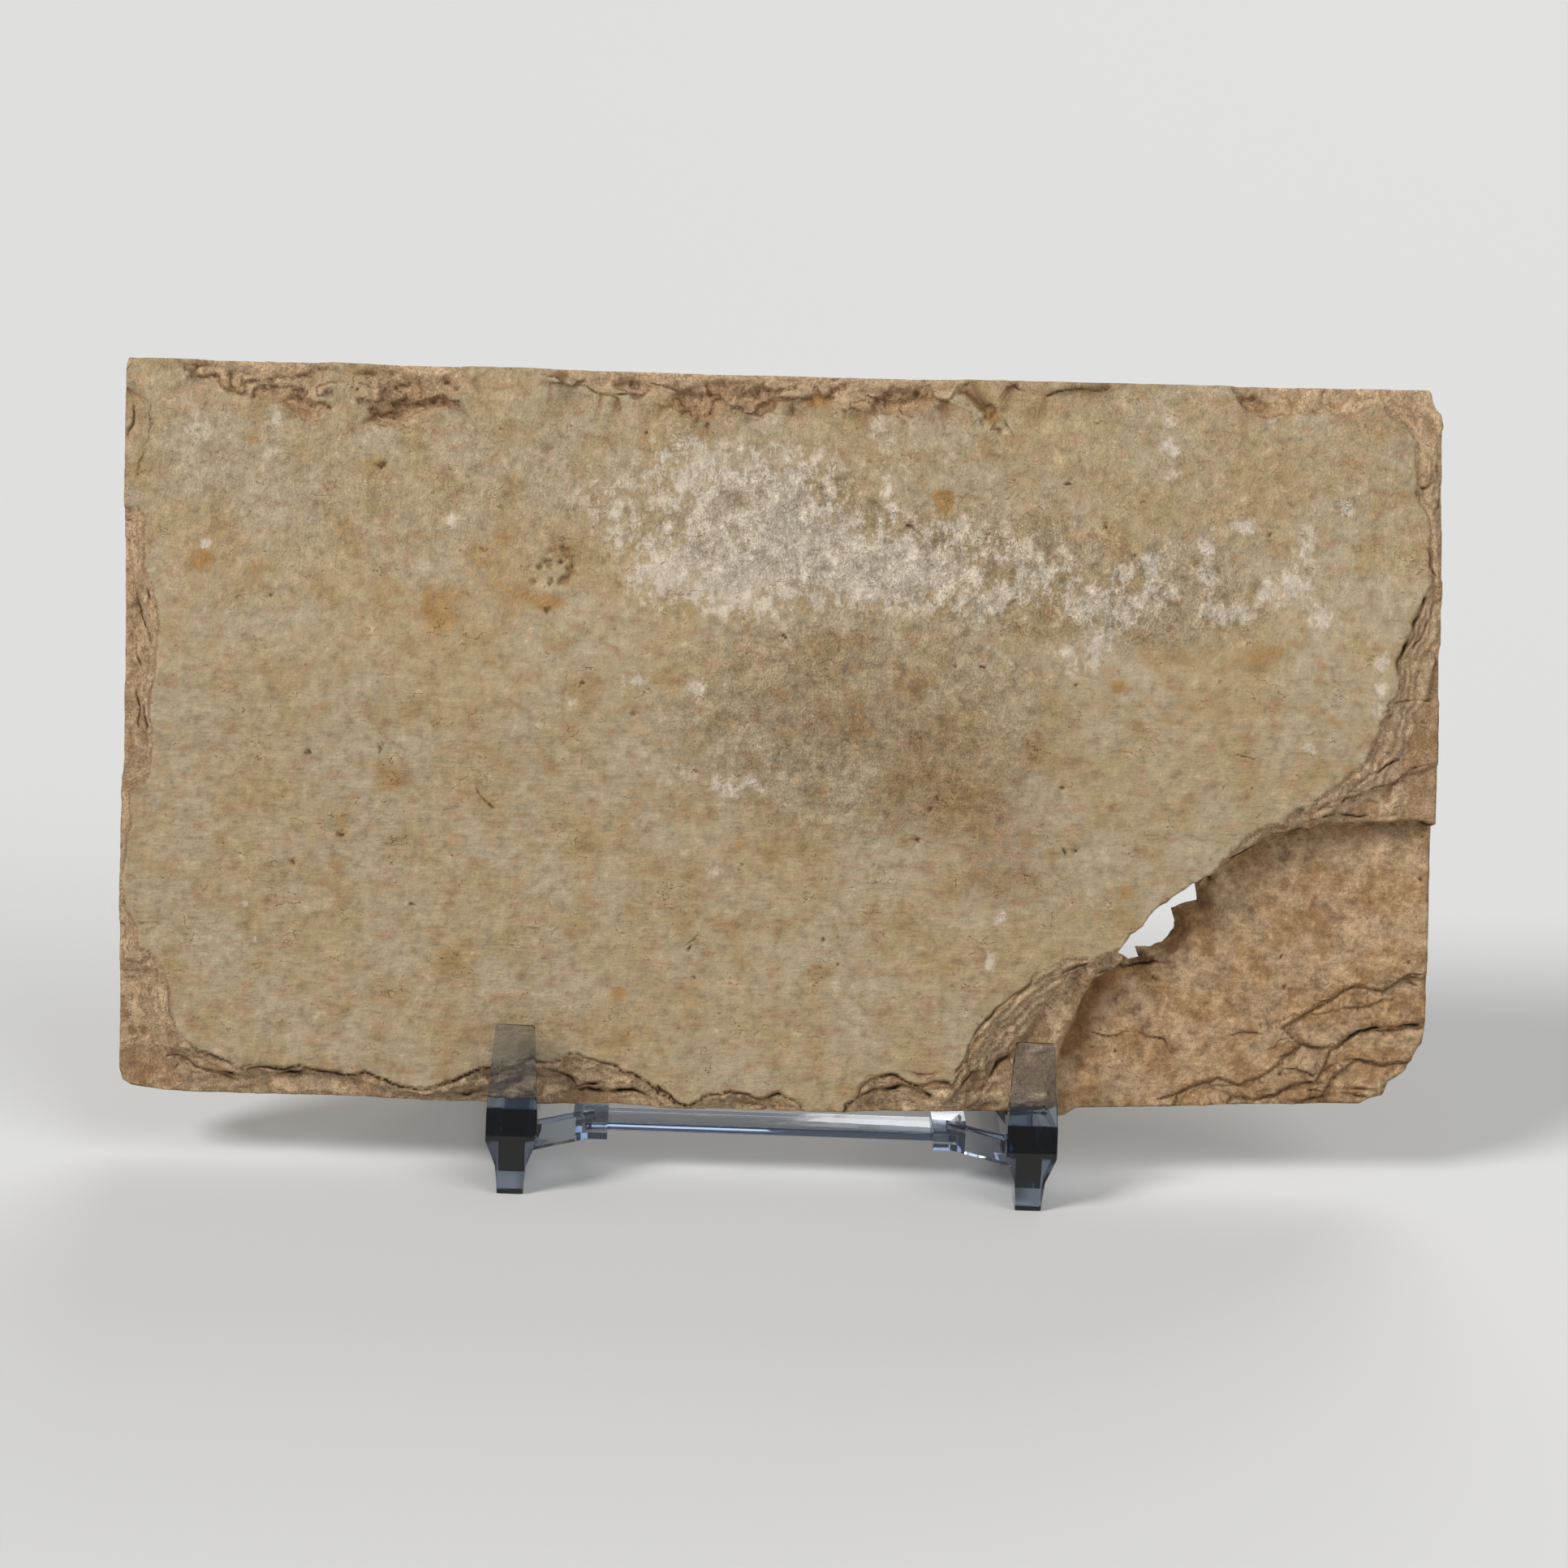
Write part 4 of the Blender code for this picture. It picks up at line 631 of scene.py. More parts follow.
def front_relief(u, v):
    """The broken front: depth behind the face, and the masks that its colours follow, painted shade among
    them.
    """
    ragged_u = u + 0.55 * lumps(u, v, 5.0, 1) + 0.28 * lumps(u, v, 1.7, 2)
    ragged_v = v + 0.55 * lumps(u, v, 5.0, 3) + 0.28 * lumps(u, v, 1.7, 4)
    in_face = inside_by(ragged_u, ragged_v, FACE_OUTLINE)
    in_second = inside_by(ragged_u, ragged_v, SECOND_OUTLINE)
    in_corner = inside_by(ragged_u, ragged_v, CORNER_OUTLINE)
    top_strip = smooth(v, 153, 159) * smooth(255 - u, 0, 6)
    off_face = smooth(-in_face, -0.05 - 0.9 * top_strip, 0.5 + 2.6 * top_strip)
    off_second = smooth(-in_second, -0.05, 0.45)

    chalk = stain(u, v, CHALK)
    bumpy = stain(u, v, [(150, 132, 34, 18, 1.0), (205, 122, 30, 16, 1.1), (245, 118, 22, 14, 0.8)])
    coarse = smooth(stain(u, v, [(170, 90, 46, 30, 1.0)]), 0.2, 0.7)
    bumpy = np.maximum(smooth(bumpy, 0.25, 0.8), 0.70 * coarse)
    swell = 0.35 * lumps(u, v, 26, 11) + 0.14 * lumps(u, v, 9, 12) + 0.05 * lumps(u, v, 3.2, 13)
    flakes, flake_edge = beds(1.2 + 0.55 * lumps(u, v, 8, 14) + 0.22 * lumps(u, v, 2.6, 15), 0.42)
    rough = 0.50 * lumps(u, v, 6.5, 19, 11) + 0.46 * lumps(u, v, 3.2, 16, 4.4)
    rough += 0.34 * lumps(u, v, 1.7, 17, 2.4)
    face = swell + bumpy * (rough + 0.75 * (flakes - 1.2))
    spongy = smooth(stain(u, v, [(97, 119.5, 6, 4, 1.1), (101, 124, 5, 4, 0.8), (104.5, 115, 3, 2.4, 0.9)]),
                    0.45, 0.75)
    cells = smooth(lumps(u, v, 1.25, 18), 0.05, 0.55)
    face += spongy * (0.75 * cells + 0.2)

    hollow = smooth(v, 140, 150) * smooth(-in_face, 0.2, 1.4) * (1 - 0.6 * top_strip)
    slope = 0.5 + 0.34 * np.minimum(-in_face, 9) * (1 - 0.8 * hollow) + 1.1 * hollow
    lying = smooth(15 - v, 0, 6)
    slope += lying * (0.65 * lumps(u, v, 11, 21, 3.6) + 0.4 * lumps(u, v, 4.5, 22, 1.5))
    slope += (1 - lying) * (0.50 * lumps(u, v, 4, 24, 10) + 0.30 * lumps(u, v, 1.8, 25, 4))
    broken, riser = beds(np.clip(slope, 0.25, 3.4), 0.7)
    broken += off_second * (SECOND_SHEET - FACE_SHEET) * 0.55
    scooped = np.zeros(len(u))
    for outline in TOP_SPALLS:
        scoop = smooth(inside_by(ragged_u, ragged_v, outline), -0.1, 0.9)
        broken += SPALL_DEPTH * scoop
        scooped = np.maximum(scooped, scoop)
    broken += 0.10 * lumps(u, v, 1.2, 23)
    depth = face + off_face * (broken - face)
    torn, torn_edge = beds(1.9 + 1.7 * lumps(u, v, 6.5, 45, 4.0) + 0.6 * lumps(u, v, 2.4, 46, 1.6), 1.3)
    torn_here = smooth(v + 4.5 * lumps(u, v, 11, 47, 5), 153.5, 158) * smooth(256 - u, 0, 8)
    torn_here = torn_here * smooth(166.5 - v + 2 * lumps(u, v, 7, 48), 0, 2.5)
    depth += torn_here * 0.75 * torn

    wall_width = 0.55 + 1.5 * smooth(232 - u, 0, 9) * smooth(v, 3, 12)
    fallen = smooth(in_corner / wall_width, 0.0, 1.0)
    floor = CORNER_FLOOR + 0.22 * lumps(u, v, 11, 31) + 0.09 * lumps(u, v, 3, 32)
    steps_riser = np.zeros(len(u))
    for outline, step in zip(CORNER_TERRACES, CORNER_STEPS):
        in_step = inside_by(ragged_u, ragged_v, outline)
        floor += step * smooth(in_step, 0, 0.5)
        steps_riser = np.maximum(steps_riser, np.exp(-((in_step - 0.4) / 0.45) ** 2))
    fringe = smooth(inside_by(u, v, CORNER_TERRACES[0]), -9, 2) * smooth(in_corner, 0.5, 2.5)
    laminae, lamina_edge = beds(0.9 * lumps(u, v, 7, 33, 3.5) + 0.4 * lumps(u, v, 2.2, 34, 1.3) + 2, 0.5)
    floor += fringe * 0.9 * (laminae - 2)
    near_hole = smooth(-inside_by(u, v, HOLE_OUTLINE), 0.0, 3.2)
    below_hole = smooth(in_corner, 0.8, 3.0)
    floor = floor + (1 - near_hole) * below_hole * (HOLE_RIM - floor)
    depth = depth + fallen * (floor - depth)

    # Painted shade, kept in the dark mask: along the risers of the broken beds, in a line at the foot of the
    # face sheet's edge that is strongest along the bottom, under the torn flakes of the top strip, on the
    # corner's steps and lamina edges, on the flake edges of the rough middle, and in the cracks. The pits and
    # the cells of the spongy patch are darkened too.
    dark = 0.38 * off_face * riser * (1 - fallen) * (1 - 0.3 * top_strip)
    edge_line = 0.46 + 0.62 * smooth(12 - v, 0, 5) * (0.6 + 0.6 * lumps(u, v, 4.0, 44))
    dark = np.maximum(dark, edge_line * np.exp(-((in_face + 0.3) / 0.3) ** 2) * (1 - top_strip))
    dark = np.maximum(dark, 0.62 * torn_here * torn_edge)
    dark = np.maximum(dark, fallen * 0.7 * np.maximum(steps_riser, 0.7 * fringe * lamina_edge))
    dark = np.maximum(dark, spongy * 0.42 * smooth(cells, 0.3, 0.8))
    dark = np.maximum(dark, 0.25 * bumpy * flake_edge)
    opening = 0.62 + 0.45 * lumps(u, v, 3.0, 43)
    for (width, cut), line in CRACKS:
        here = groove(ragged_u, ragged_v, line, width) * opening
        depth += cut * here
        dark = np.maximum(dark, (0.86 + 0.35 * cut) * here)
    for pit_u, pit_v, radius, cut in PITS:
        astray_u, astray_v = lumps(u, v, 0.85, 41), lumps(u, v, 0.85, 42)
        away = np.hypot(u - pit_u + 0.75 * radius * astray_u, v - pit_v + 0.75 * radius * astray_v)
        here = np.exp(-(away / (0.75 * radius)) ** 2)
        depth += cut * here
        dark = np.maximum(dark, 0.78 * smooth(here, 0.25, 0.9))
    # Painted shade in the corner's pocket: a brown band along its left wall, and a shadow under the ledge
    # along its upper edge right of the hole.
    shade = fallen * np.exp(-((in_corner - 2.0) / 2.6) ** 2) * smooth(234 - u, 0, 6) * smooth(v, 4, 14)
    wide_shade = np.exp(-((in_corner - 2.0) / 7.5) ** 2) * smooth(236 - u, 0, 9) * smooth(v, 6, 16)
    shade += 0.55 * fallen * wide_shade
    shade = np.maximum(shade, fallen * 0.45 * np.exp(-(in_corner / 2.4) ** 2) * smooth(u, 254, 262))
    masks = {
        "chalk": chalk, "grey": stain(u, v, GREY),
        "brown": stain(u, v, BROWN) + 0.75 * scooped + torn_here * 0.6 * smooth(torn, 1.4, 2.5),
        "ochre": stain(u, v, OCHRE),
        "dark": dark, "broken": off_face * (1 - fallen), "floor": fallen, "shade": shade,
        "tooth": np.maximum(np.maximum(bumpy, 0.35 * smooth(v, 95, 140)),
                            np.maximum(0.65 * off_face * (1 - fallen), 0.35 * fallen))}
    return depth, masks


def wanted_spacing(u, v):
    """How close the mesh points stand: close on broken ledges and cracks, wide on the plain face."""
    in_face = inside_by(u, v, FACE_OUTLINE)
    in_corner = inside_by(u, v, CORNER_OUTLINE)
    bumpy = stain(u, v, [(165, 128, 48, 22, 1.0), (235, 120, 34, 18, 1.0)]) > 0.45
    spacing = np.where(bumpy | (in_corner > 0), MIDDLE_STEP, WIDE_STEP)
    spacing = np.where((in_face < 1.2) & (in_corner < 1.5), CLOSE_STEP, spacing)
    spacing = np.where((v > 153) & (u < 258), np.minimum(spacing, TORN_STEP), spacing)
    for outline in CORNER_TERRACES:
        spacing = np.where(groove(u, v, outline[:-2], 1.3) > 0.35, CLOSE_STEP, spacing)
    spacing = np.where(stain(u, v, [(99, 120, 9, 8, 1.0)]) > 0.4, CLOSE_STEP, spacing)
    small = [spot[:3] for spot in CHALK + GREY + BROWN + OCHRE if spot[2] < 2.1]
    for spot_u, spot_v, radius in small + [pit[:3] for pit in PITS]:
        spacing = np.where(np.hypot(u - spot_u, v - spot_v) < 1.5 * radius + 0.6, CLOSE_STEP, spacing)
    for _, line in CRACKS:
        spacing = np.where(groove(u, v, line, 0.8) > 0.40, FINEST_STEP, spacing)
    return spacing


def scattered(low, high, step, seed):
    """An uneven grid of points over a rectangle."""
    across, up = np.meshgrid(np.arange(low[0], high[0], step), np.arange(low[1], high[1], step))
    points = np.stack((across.ravel(), up.ravel()), 1)
    points[:, 0] += (np.arange(len(points)) // across.shape[1] % 2) * step / 2
    return points + (np.random.default_rng(seed).random(points.shape) - 0.5) * MESH_JITTER * step


def fill(loops, points):
    """Triangles between closed loops and over loose points, the first loop being the outer one."""
    corners = [Vector(point) for loop in loops for point in loop] + [Vector(point) for point in points]
    edges = []
    start = 0
    for loop in loops:
        edges += [(start + index, start + (index + 1) % len(loop)) for index in range(len(loop))]
        start += len(loop)
    made = delaunay_2d_cdt(corners, edges, [], 0, MESH_MERGE, True)
    where = np.array([tuple(corner) for corner in made[0]])
    faces = np.array([face for face in made[2] if len(face) == 3])
    middle = where[faces].mean(1)
    keep = inside_by(*middle.T, loops[0]) > 0
    for loop in loops[1:]:
        keep &= inside_by(*middle.T, loop) < 0
    origin = {}
    for index, sources in enumerate(made[3]):
        for source in sources:
            origin[source] = index
    rings = []
    start = 0
    for loop in loops:
        rings.append([origin[start + index] for index in range(len(loop))])
        start += len(loop)
    return where, faces[keep], rings


edge_points = walk(SAWN_EDGE, EDGE_STEP)
edge_points += 0.07 * np.stack((lumps(*edge_points.T, 2.5, 51), lumps(*edge_points.T, 2.5, 52)), 1)
hole_points = walk(HOLE_OUTLINE, HOLE_STEP)
hole_points += 0.22 * np.stack((lumps(*hole_points.T, 1.4, 53), lumps(*hole_points.T, 1.4, 54)), 1)
front_edge = edge_points.copy()
front_edge[:, 0] -= right_inset(front_edge[:, 0], front_edge[:, 1], 2.0)

front_points = []
for spacing in (FINEST_STEP, CLOSE_STEP, MIDDLE_STEP, WIDE_STEP):
    candidates = scattered(MESH_FROM, MESH_TO, spacing, int(spacing * 100))
    front_points.append(candidates[wanted_spacing(*candidates.T) == spacing])
front_points = np.concatenate(front_points)
clear = inside_by(*front_points.T, front_edge) > 0.4
clear &= inside_by(*front_points.T, hole_points) < -0.3
front_where, front_faces, front_rings = fill([front_edge, hole_points], front_points[clear])
front_depth, front_masks = front_relief(*front_where.T)

back_points = scattered(MESH_FROM, MESH_TO, REAR_STEP, 61)
clear = inside_by(*back_points.T, edge_points) > 1.0
clear &= inside_by(*back_points.T, hole_points) < -1.0
back_where, back_faces, back_rings = fill([edge_points, hole_points], back_points[clear])
back_swell = 0.10 * lumps(*back_where.T, 22, 62) + 0.05 * lumps(*back_where.T, 6, 63)
back_edge = smooth(inside_by(*back_where.T, SAWN_EDGE), 0.0, 2.5)
back_depth = PLATE_DEPTH - REAR_SINK + back_swell * back_edge

corners = [np.column_stack((front_where, front_depth)), np.column_stack((back_where, back_depth))]
faces = [front_faces, back_faces[:, ::-1] + len(front_where)]


def wall(front_ring, back_ring, ring_count, outer):
    """Adds the rows of points between a front loop and the back loop behind it, and their faces."""
    first = np.array(front_ring)
    last = np.array(back_ring) + len(front_where)
    start = np.column_stack((front_where[front_ring], front_depth[front_ring]))
    finish = np.column_stack((back_where[back_ring], back_depth[back_ring]))
    rows = [first]
    for ring in range(1, ring_count):
        share = ring / ring_count
        row = start + (finish - start) * share
        place_u, place_v, place_w = row.T
        if outer:
            foot = np.interp(place_u, *np.array(REAR_FOOT).T)
            hangs = (place_v < 0) & (place_u > REAR_FOOT[0][0]) & (place_u < REAR_FOOT[-1][0])
            drop = smooth(place_w, *REAR_FOOT_BEGINS) * (1 - smooth(place_w, *REAR_FOOT_ENDS))
            row[:, 1] += np.where(hangs, np.minimum(foot - place_v, 0) * drop, 0)
            away = np.sign(place_u - PLATE_WIDTH / 2)
            side = smooth(np.abs(place_u - PLATE_WIDTH / 2), 150, 152)
            layer = 0.10 * lumps(place_w * 3.1, place_u + place_v, 2.0, 71, 60.0)
            row[:, 0] += away * side * layer
            row[:, 1] += np.where(place_v > 83, 1, -1) * (1 - side) * layer
        else:
            row[:, 0] += 0.25 * lumps(place_u + 3 * place_w, place_v, 1.6, 72)
            row[:, 1] += 0.25 * lumps(place_u, place_v + 3 * place_w, 1.6, 73)
        rows.append(np.arange(len(row)) + sum(len(part) for part in corners))
        corners.append(row)
    rows.append(last)
    for near, far in zip(rows, rows[1:]):
        following, beyond = np.roll(near, -1), np.roll(far, -1)
        faces.append(np.column_stack((near, far, beyond)))
        faces.append(np.column_stack((near, beyond, following)))


wall(front_rings[0], back_rings[0], SIDE_RINGS, True)
wall(front_rings[1], back_rings[1], HOLE_RINGS, False)
corners = np.concatenate(corners)
faces = np.concatenate(faces)

plate_turn = Matrix.Rotation(math.pi / 2 - PLATE_LEAN, 3, "X") @ Matrix.Rotation(PLATE_ROLL, 3, "Z")


def on_plate(points):
    """Places in metres for rows of u, v and w."""
    local = np.column_stack((points[:, 0] - PLATE_WIDTH / 2, points[:, 1], -points[:, 2]))
    return (local @ np.array(plate_turn).T + PLATE_ORIGIN) * MM


def closed_mesh(name, places, sheets):
    """A smooth mesh of closed skins whose faces all look outwards."""
    mesh = bpy.data.meshes.new(name)
    mesh.from_pydata(places, [], sheets)
    form = bmesh.new()
    form.from_mesh(mesh)
    bmesh.ops.recalc_face_normals(form, faces=form.faces)
    form.to_mesh(mesh)
    form.free()
    mesh.shade_smooth()
    return mesh


def keep_on(mesh, name, kind, values):
    """Keeps a value at every point of a mesh, for its material or for another node to read."""
    key = {"FLOAT": "value", "FLOAT_VECTOR": "vector", "FLOAT_COLOR": "color"}[kind]
    mesh.attributes.new(name, kind, "POINT").data.foreach_set(key, np.asarray(values, np.float32).ravel())


slab_mesh = closed_mesh("limestone_slab", on_plate(corners).tolist(), faces.tolist())
keep_on(slab_mesh, "bed_place", "FLOAT_VECTOR", corners)
for attribute_name, mask_names in (
        ("stains", ("chalk", "grey", "brown", "ochre")), ("breaks", ("dark", "broken", "floor", "shade"))):
    mask_rows = np.zeros((len(corners), 4))
    for column, mask_name in enumerate(mask_names):
        mask_rows[:len(front_where), column] = front_masks[mask_name]
    keep_on(slab_mesh, attribute_name, "FLOAT_COLOR", mask_rows)
sawn_rows = np.arange(len(corners)) >= len(front_where) + len(back_where)
keep_on(slab_mesh, "sawn", "FLOAT", sawn_rows)
tooth_rows = np.full(len(corners), PLAIN_TOOTH)
tooth_rows[:len(front_where)] = front_masks["tooth"]
keep_on(slab_mesh, "tooth", "FLOAT", tooth_rows)

# Colours of the stone, from its palest bed to the stains of iron; the stain brown also paints shade, and the
# black paints shade alone
STONE_GREY = (0.485, 0.388, 0.252, 1)
STONE_BUFF = (0.478, 0.352, 0.200, 1)
STONE_YELLOW = (0.478, 0.328, 0.146, 1)
STONE_PINK = (0.505, 0.325, 0.182, 1)
STONE_OLIVE = (0.345, 0.236, 0.122, 1)
CHALK_WHITE = (0.700, 0.605, 0.480, 1)
COOL_GREY = (0.490, 0.400, 0.280, 1)
STAIN_AND_SHADE_BROWN = (0.285, 0.150, 0.060, 1)
STAIN_OCHRE = (0.400, 0.205, 0.050, 1)
BROKEN_BROWN = (0.440, 0.278, 0.148, 1)
BROKEN_TAN = (0.640, 0.450, 0.272, 1)
FLOOR_TAN = (0.590, 0.402, 0.235, 1)
FLOOR_ORANGE = (0.450, 0.270, 0.128, 1)
SPECK_DARK = (0.085, 0.065, 0.040, 1)
CRACK_SHADE_BLACK = (0.016, 0.010, 0.005, 1)
SAWN_TAN = (0.430, 0.330, 0.215, 1)

limestone, stone, stone_shader = new_finish("limestone")
bed_place = stone.read("bed_place", 1)
height_on_plate = stone.add("ShaderNodeSeparateXYZ", {}, {0: bed_place}, out=1)
stains, breaks = stone.read("stains"), stone.read("breaks")
chalk_mask, grey_mask, brown_mask = [
    stone.add("ShaderNodeSeparateColor", {}, {0: stains}, out=index) for index in range(3)]
dark_mask, broken_mask, floor_mask = [
    stone.add("ShaderNodeSeparateColor", {}, {0: breaks}, out=index) for index in range(3)]
ochre_mask = stone.read("stains", 3)
shade_mask = stone.read("breaks", 3)
sawn_mask = stone.read("sawn", 2)
tooth = stone.read("tooth", 2)

clouds = bed_place.noise(0.045, 3.0, 0.50)
patches = bed_place.noise(0.11, 3.0, 0.55)
mottle = bed_place.noise(0.36, 5.0, 0.62)
blotches = bed_place.stretched(1, 1.5).noise(0.19, 3.0, 0.55)
grain = bed_place.noise(1.4, 4.0, 0.70)
upper = height_on_plate.between(80.0, 125.0)
streaks = bed_place.stretched(1.6, 0.6).noise(0.7, 4.0, 0.68)
brushing = bed_place.stretched(0.35, 1.7).noise(0.7, 4.0, 0.68)
fibres = upper * streaks + (1 - upper) * brushing
flakes = bed_place.stretched(1, 0.75).flakes(0.28)
crust = bed_place.stretched(1.25, 0.8).noise(0.26, 6.0, 0.62)
shelf = crust.between(0.492, 0.512) + 0.6 * crust.between(0.562, 0.580) + 0.5 * crust.between(0.430, 0.450)
scales = bed_place.stretched(1.3, 0.8).noise(0.95, 4.0, 0.60)
scale_shelf = scales.between(0.50, 0.54)

grey_here = (grey_mask + (0.75 * mottle + 0.5 * grain) - 0.62).between(0.18, 0.85)
stain_edge = 2.4 * (0.6 * patches + 0.4 * mottle) + 1.0 * grain - 1.7
rust = 0.55 * patches + 0.45 * blotches + 0.30 * grain
brown_here = (brown_mask + stain_edge).between(0.15, 0.95)
ochre_here = (ochre_mask + 0.8 * stain_edge).between(0.15, 0.9)
chalk_edge = 1.5 * (0.4 * mottle + 0.9 * blotches + 0.5 * streaks - 0.9)
chalk_edge = chalk_edge + 0.34 * shelf + 0.16 * scale_shelf - 0.38
chalk_here = (chalk_mask + chalk_edge).between(0.02, 0.95) * chalk_mask.between(0.06, 0.40)
face_colour = clouds.between(0.34, 0.66).tint(STONE_GREY, STONE_BUFF).under(
    (patches.between(0.46, 0.68) * 0.5, STONE_YELLOW),
    (blotches.between(0.50, 0.70) * 0.8, STONE_PINK),
    ((1 - mottle).between(0.52, 0.72) * (0.35 + 0.15 * tooth), STONE_OLIVE),
    (mottle.between(0.58, 0.74) * (0.25 + 0.20 * tooth), CHALK_WHITE),
    (grey_here * 0.6, COOL_GREY),
    (rust.between(0.69, 0.82) * 0.16, STAIN_OCHRE),
    (brown_here * 0.48, STAIN_AND_SHADE_BROWN),
    (ochre_here * 0.7, STAIN_OCHRE),
    (chalk_here * 0.80, CHALK_WHITE))

broken_mix = 1.3 * patches + 1.0 * blotches + 0.20 * flakes - 0.10
broken_colour = broken_mix.between(0.84, 1.10).tint(BROKEN_BROWN, BROKEN_TAN).under(
    (brown_here * 0.5, STAIN_AND_SHADE_BROWN),
    (ochre_here * 0.6, STAIN_OCHRE))
floor_colour = patches.between(0.38, 0.60).tint(FLOOR_ORANGE, FLOOR_TAN).under(
    (mottle.between(0.50, 0.70) * 0.55, BROKEN_TAN),
    ((1 - blotches).between(0.52, 0.68) * 0.45, STAIN_AND_SHADE_BROWN),
    ((1 - mottle).between(0.54, 0.68) * 0.35, STAIN_AND_SHADE_BROWN))
layers = bed_place.stretched(0.06, 0.06).noise(2.4, 4.0, 0.75)
seam = layers - 0.5
# Painted shadow: thin brown lines along the bed seams of the broken edges and, fainter, of the corner's
# floor.
seam_shadow = (seam * seam).between(0.0006, 0.0) * (broken_mask + 0.25 * floor_mask)
sawn_bands = bed_place.stretched(0.02, 0.02).noise(1.3, 5.0, 0.7)
sawn_colour = sawn_bands.between(0.42, 0.60).tint(STONE_BUFF, SAWN_TAN)
speck_clusters = bed_place.noise(0.09, 4.0, 0.7).between(0.42, 0.62)
speck_here = bed_place.dots(0.30, 0.13, speck_clusters) + bed_place.dots(0.6, 0.15, speck_clusters)
hair = bed_place.stretched(0.8, 1.3).noise(0.16, 4.0, 0.55) - 0.5
hair_share = speck_clusters * (mottle + 0.5 * blotches) + 0.18 * brown_here
hair_here = (hair * hair).between(0.00004, 0.0) * hair_share.between(0.66, 0.84)
shadowed = dark_mask + 0.35 * grain - 0.17
colour = face_colour.under(
    (broken_mask * 0.92, broken_colour),
    (floor_mask, floor_colour),
    ((shade_mask * (0.60 + 0.5 * mottle)).between(0.1, 0.9), STAIN_AND_SHADE_BROWN),
    (seam_shadow * 0.45, STAIN_AND_SHADE_BROWN),
    (sawn_mask * 0.85, sawn_colour),
    (speck_here.between(0.0, 1.0) * 0.5, SPECK_DARK),
    (hair_here * 0.45, SPECK_DARK))
# Brightness: the stone's own tone varies over it, and painted light makes the raised shelves and flakes of
# the bump lighter than the hollows between them.
colour = colour.brightened(
    0.51 + 0.46 * fibres + 0.30 * grain + 0.14 * upper + 0.07 * brown_here
    + (0.80 + 0.20 * tooth + 0.5 * floor_mask + 0.5 * brown_here) * (mottle - 0.5)
    - 0.35 * (blotches - 0.5) - 0.30 * (patches - 0.5)
    + (0.03 + 0.07 * tooth) * (scale_shelf + shelf - 1.3)
    + (0.04 + 0.14 * tooth) * (flakes - 0.5) + (broken_mask + 0.5 * floor_mask) * (1.1 * layers - 0.55))
# Painted shade from the dark mask: brown, then black in the cracks and under the deepest ledges.
colour = colour.under(
    (shadowed.between(0.10, 0.60) * 0.8, STAIN_AND_SHADE_BROWN),
    (shadowed.between(0.42, 1.0), CRACK_SHADE_BLACK))
connect(limestone, colour, stone_shader, "Base Color")
connect(limestone, 0.82 + 0.14 * grain, stone_shader, "Roughness")
stone_shader.inputs["Specular IOR Level"].default_value = 0.25

pitting = bed_place.noise(0.45, 5.0, 0.60)
relief_height = (0.10 + 0.16 * tooth - 0.09 * broken_mask) * pitting + 0.09 * fibres + 0.05 * grain
relief_height = relief_height - 0.3 * dark_mask
relief_height = relief_height + (0.008 + 0.050 * tooth) * scale_shelf
relief_height = relief_height + (0.012 + 0.095 * tooth + 0.03 * brown_here) * shelf
relief_height = relief_height + (0.01 + 0.07 * tooth) * flakes - 0.12 * hair_here
stone_bump = stone.add(
    "ShaderNodeBump", {}, {"Strength": 1.0, "Distance": 0.003, "Height": relief_height})
connect(limestone, stone_bump, stone_shader, "Normal")

slab_mesh.materials.append(limestone)
slab = set_out("limestone_slab", slab_mesh)
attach(slab, "root")
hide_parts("slab")


# Fish impression: the flattened body of a deep-bellied, herring-like fish on the hidden rear face. It is
# a thin brown film of skin, pressed between two beds, that the preparer uncovered and left on the stone.
FISH_SNOUT_U = 23.0
FISH_AXIS_V = 91.0
FILM_STEP = 1.4
BEDDED_AT = -0.6
FISH_SILHOUETTE = [
    (0, 12), (3, 15.5), (10, 18.5), (22, 23.5), (36, 29), (50, 33.5), (64, 36.6), (78, 38), (94, 37.4),
    (99, 43), (105, 54), (108.5, 60), (114, 54), (119, 46), (125, 38.5), (129, 33.5), (140, 30),
    (155, 25), (170, 19.8), (184, 15.2), (196, 11.8), (204, 10.6), (209, 13.5), (218, 23), (229, 35),
    (240, 45), (251, 52), (250.5, 46), (244, 35), (236, 22), (229, 10), (224.5, 1), (228, -8),
    (235, -19), (243, -31), (249, -41), (251, -47.5), (240, -40.5), (228, -30.5), (217, -20.5),
    (209, -13), (204, -10.4), (198, -10.8), (196, -15), (188, -19.5), (176, -25.5), (163, -32.5),
    (150, -40), (140, -47), (132, -54.5), (128.5, -57), (124.5, -52), (121, -44.5), (112, -46.6),
    (105, -48.2), (107, -56), (108.5, -61), (101, -57), (96, -50.5), (86, -51), (72, -50.4),
    (58, -47.6), (44, -42.6), (32, -35.8), (21, -26.6), (12, -15.6), (5.5, -4), (1.5, 5)]
BACK_X, BACK_Y = np.array([
    (0, 12), (22, 23.5), (50, 33.5), (78, 38), (97, 37.2), (124, 35), (155, 25), (184, 15.2), (209, 10)]).T
BELLY_X, BELLY_Y = np.array([
    (5.5, -4), (21, -26.6), (44, -42.6), (72, -50.4), (96, -50.5), (122, -43.5), (150, -30), (180, -16),
    (198, -10.5), (209, -9)]).T
BONE_DARK = (0.055, 0.024, 0.011, 1)
BONE_AMBER = (0.230, 0.105, 0.036, 1)
BONE_PALE = (0.400, 0.260, 0.130, 1)
SKIN_BROWN = (0.235, 0.138, 0.068, 1)
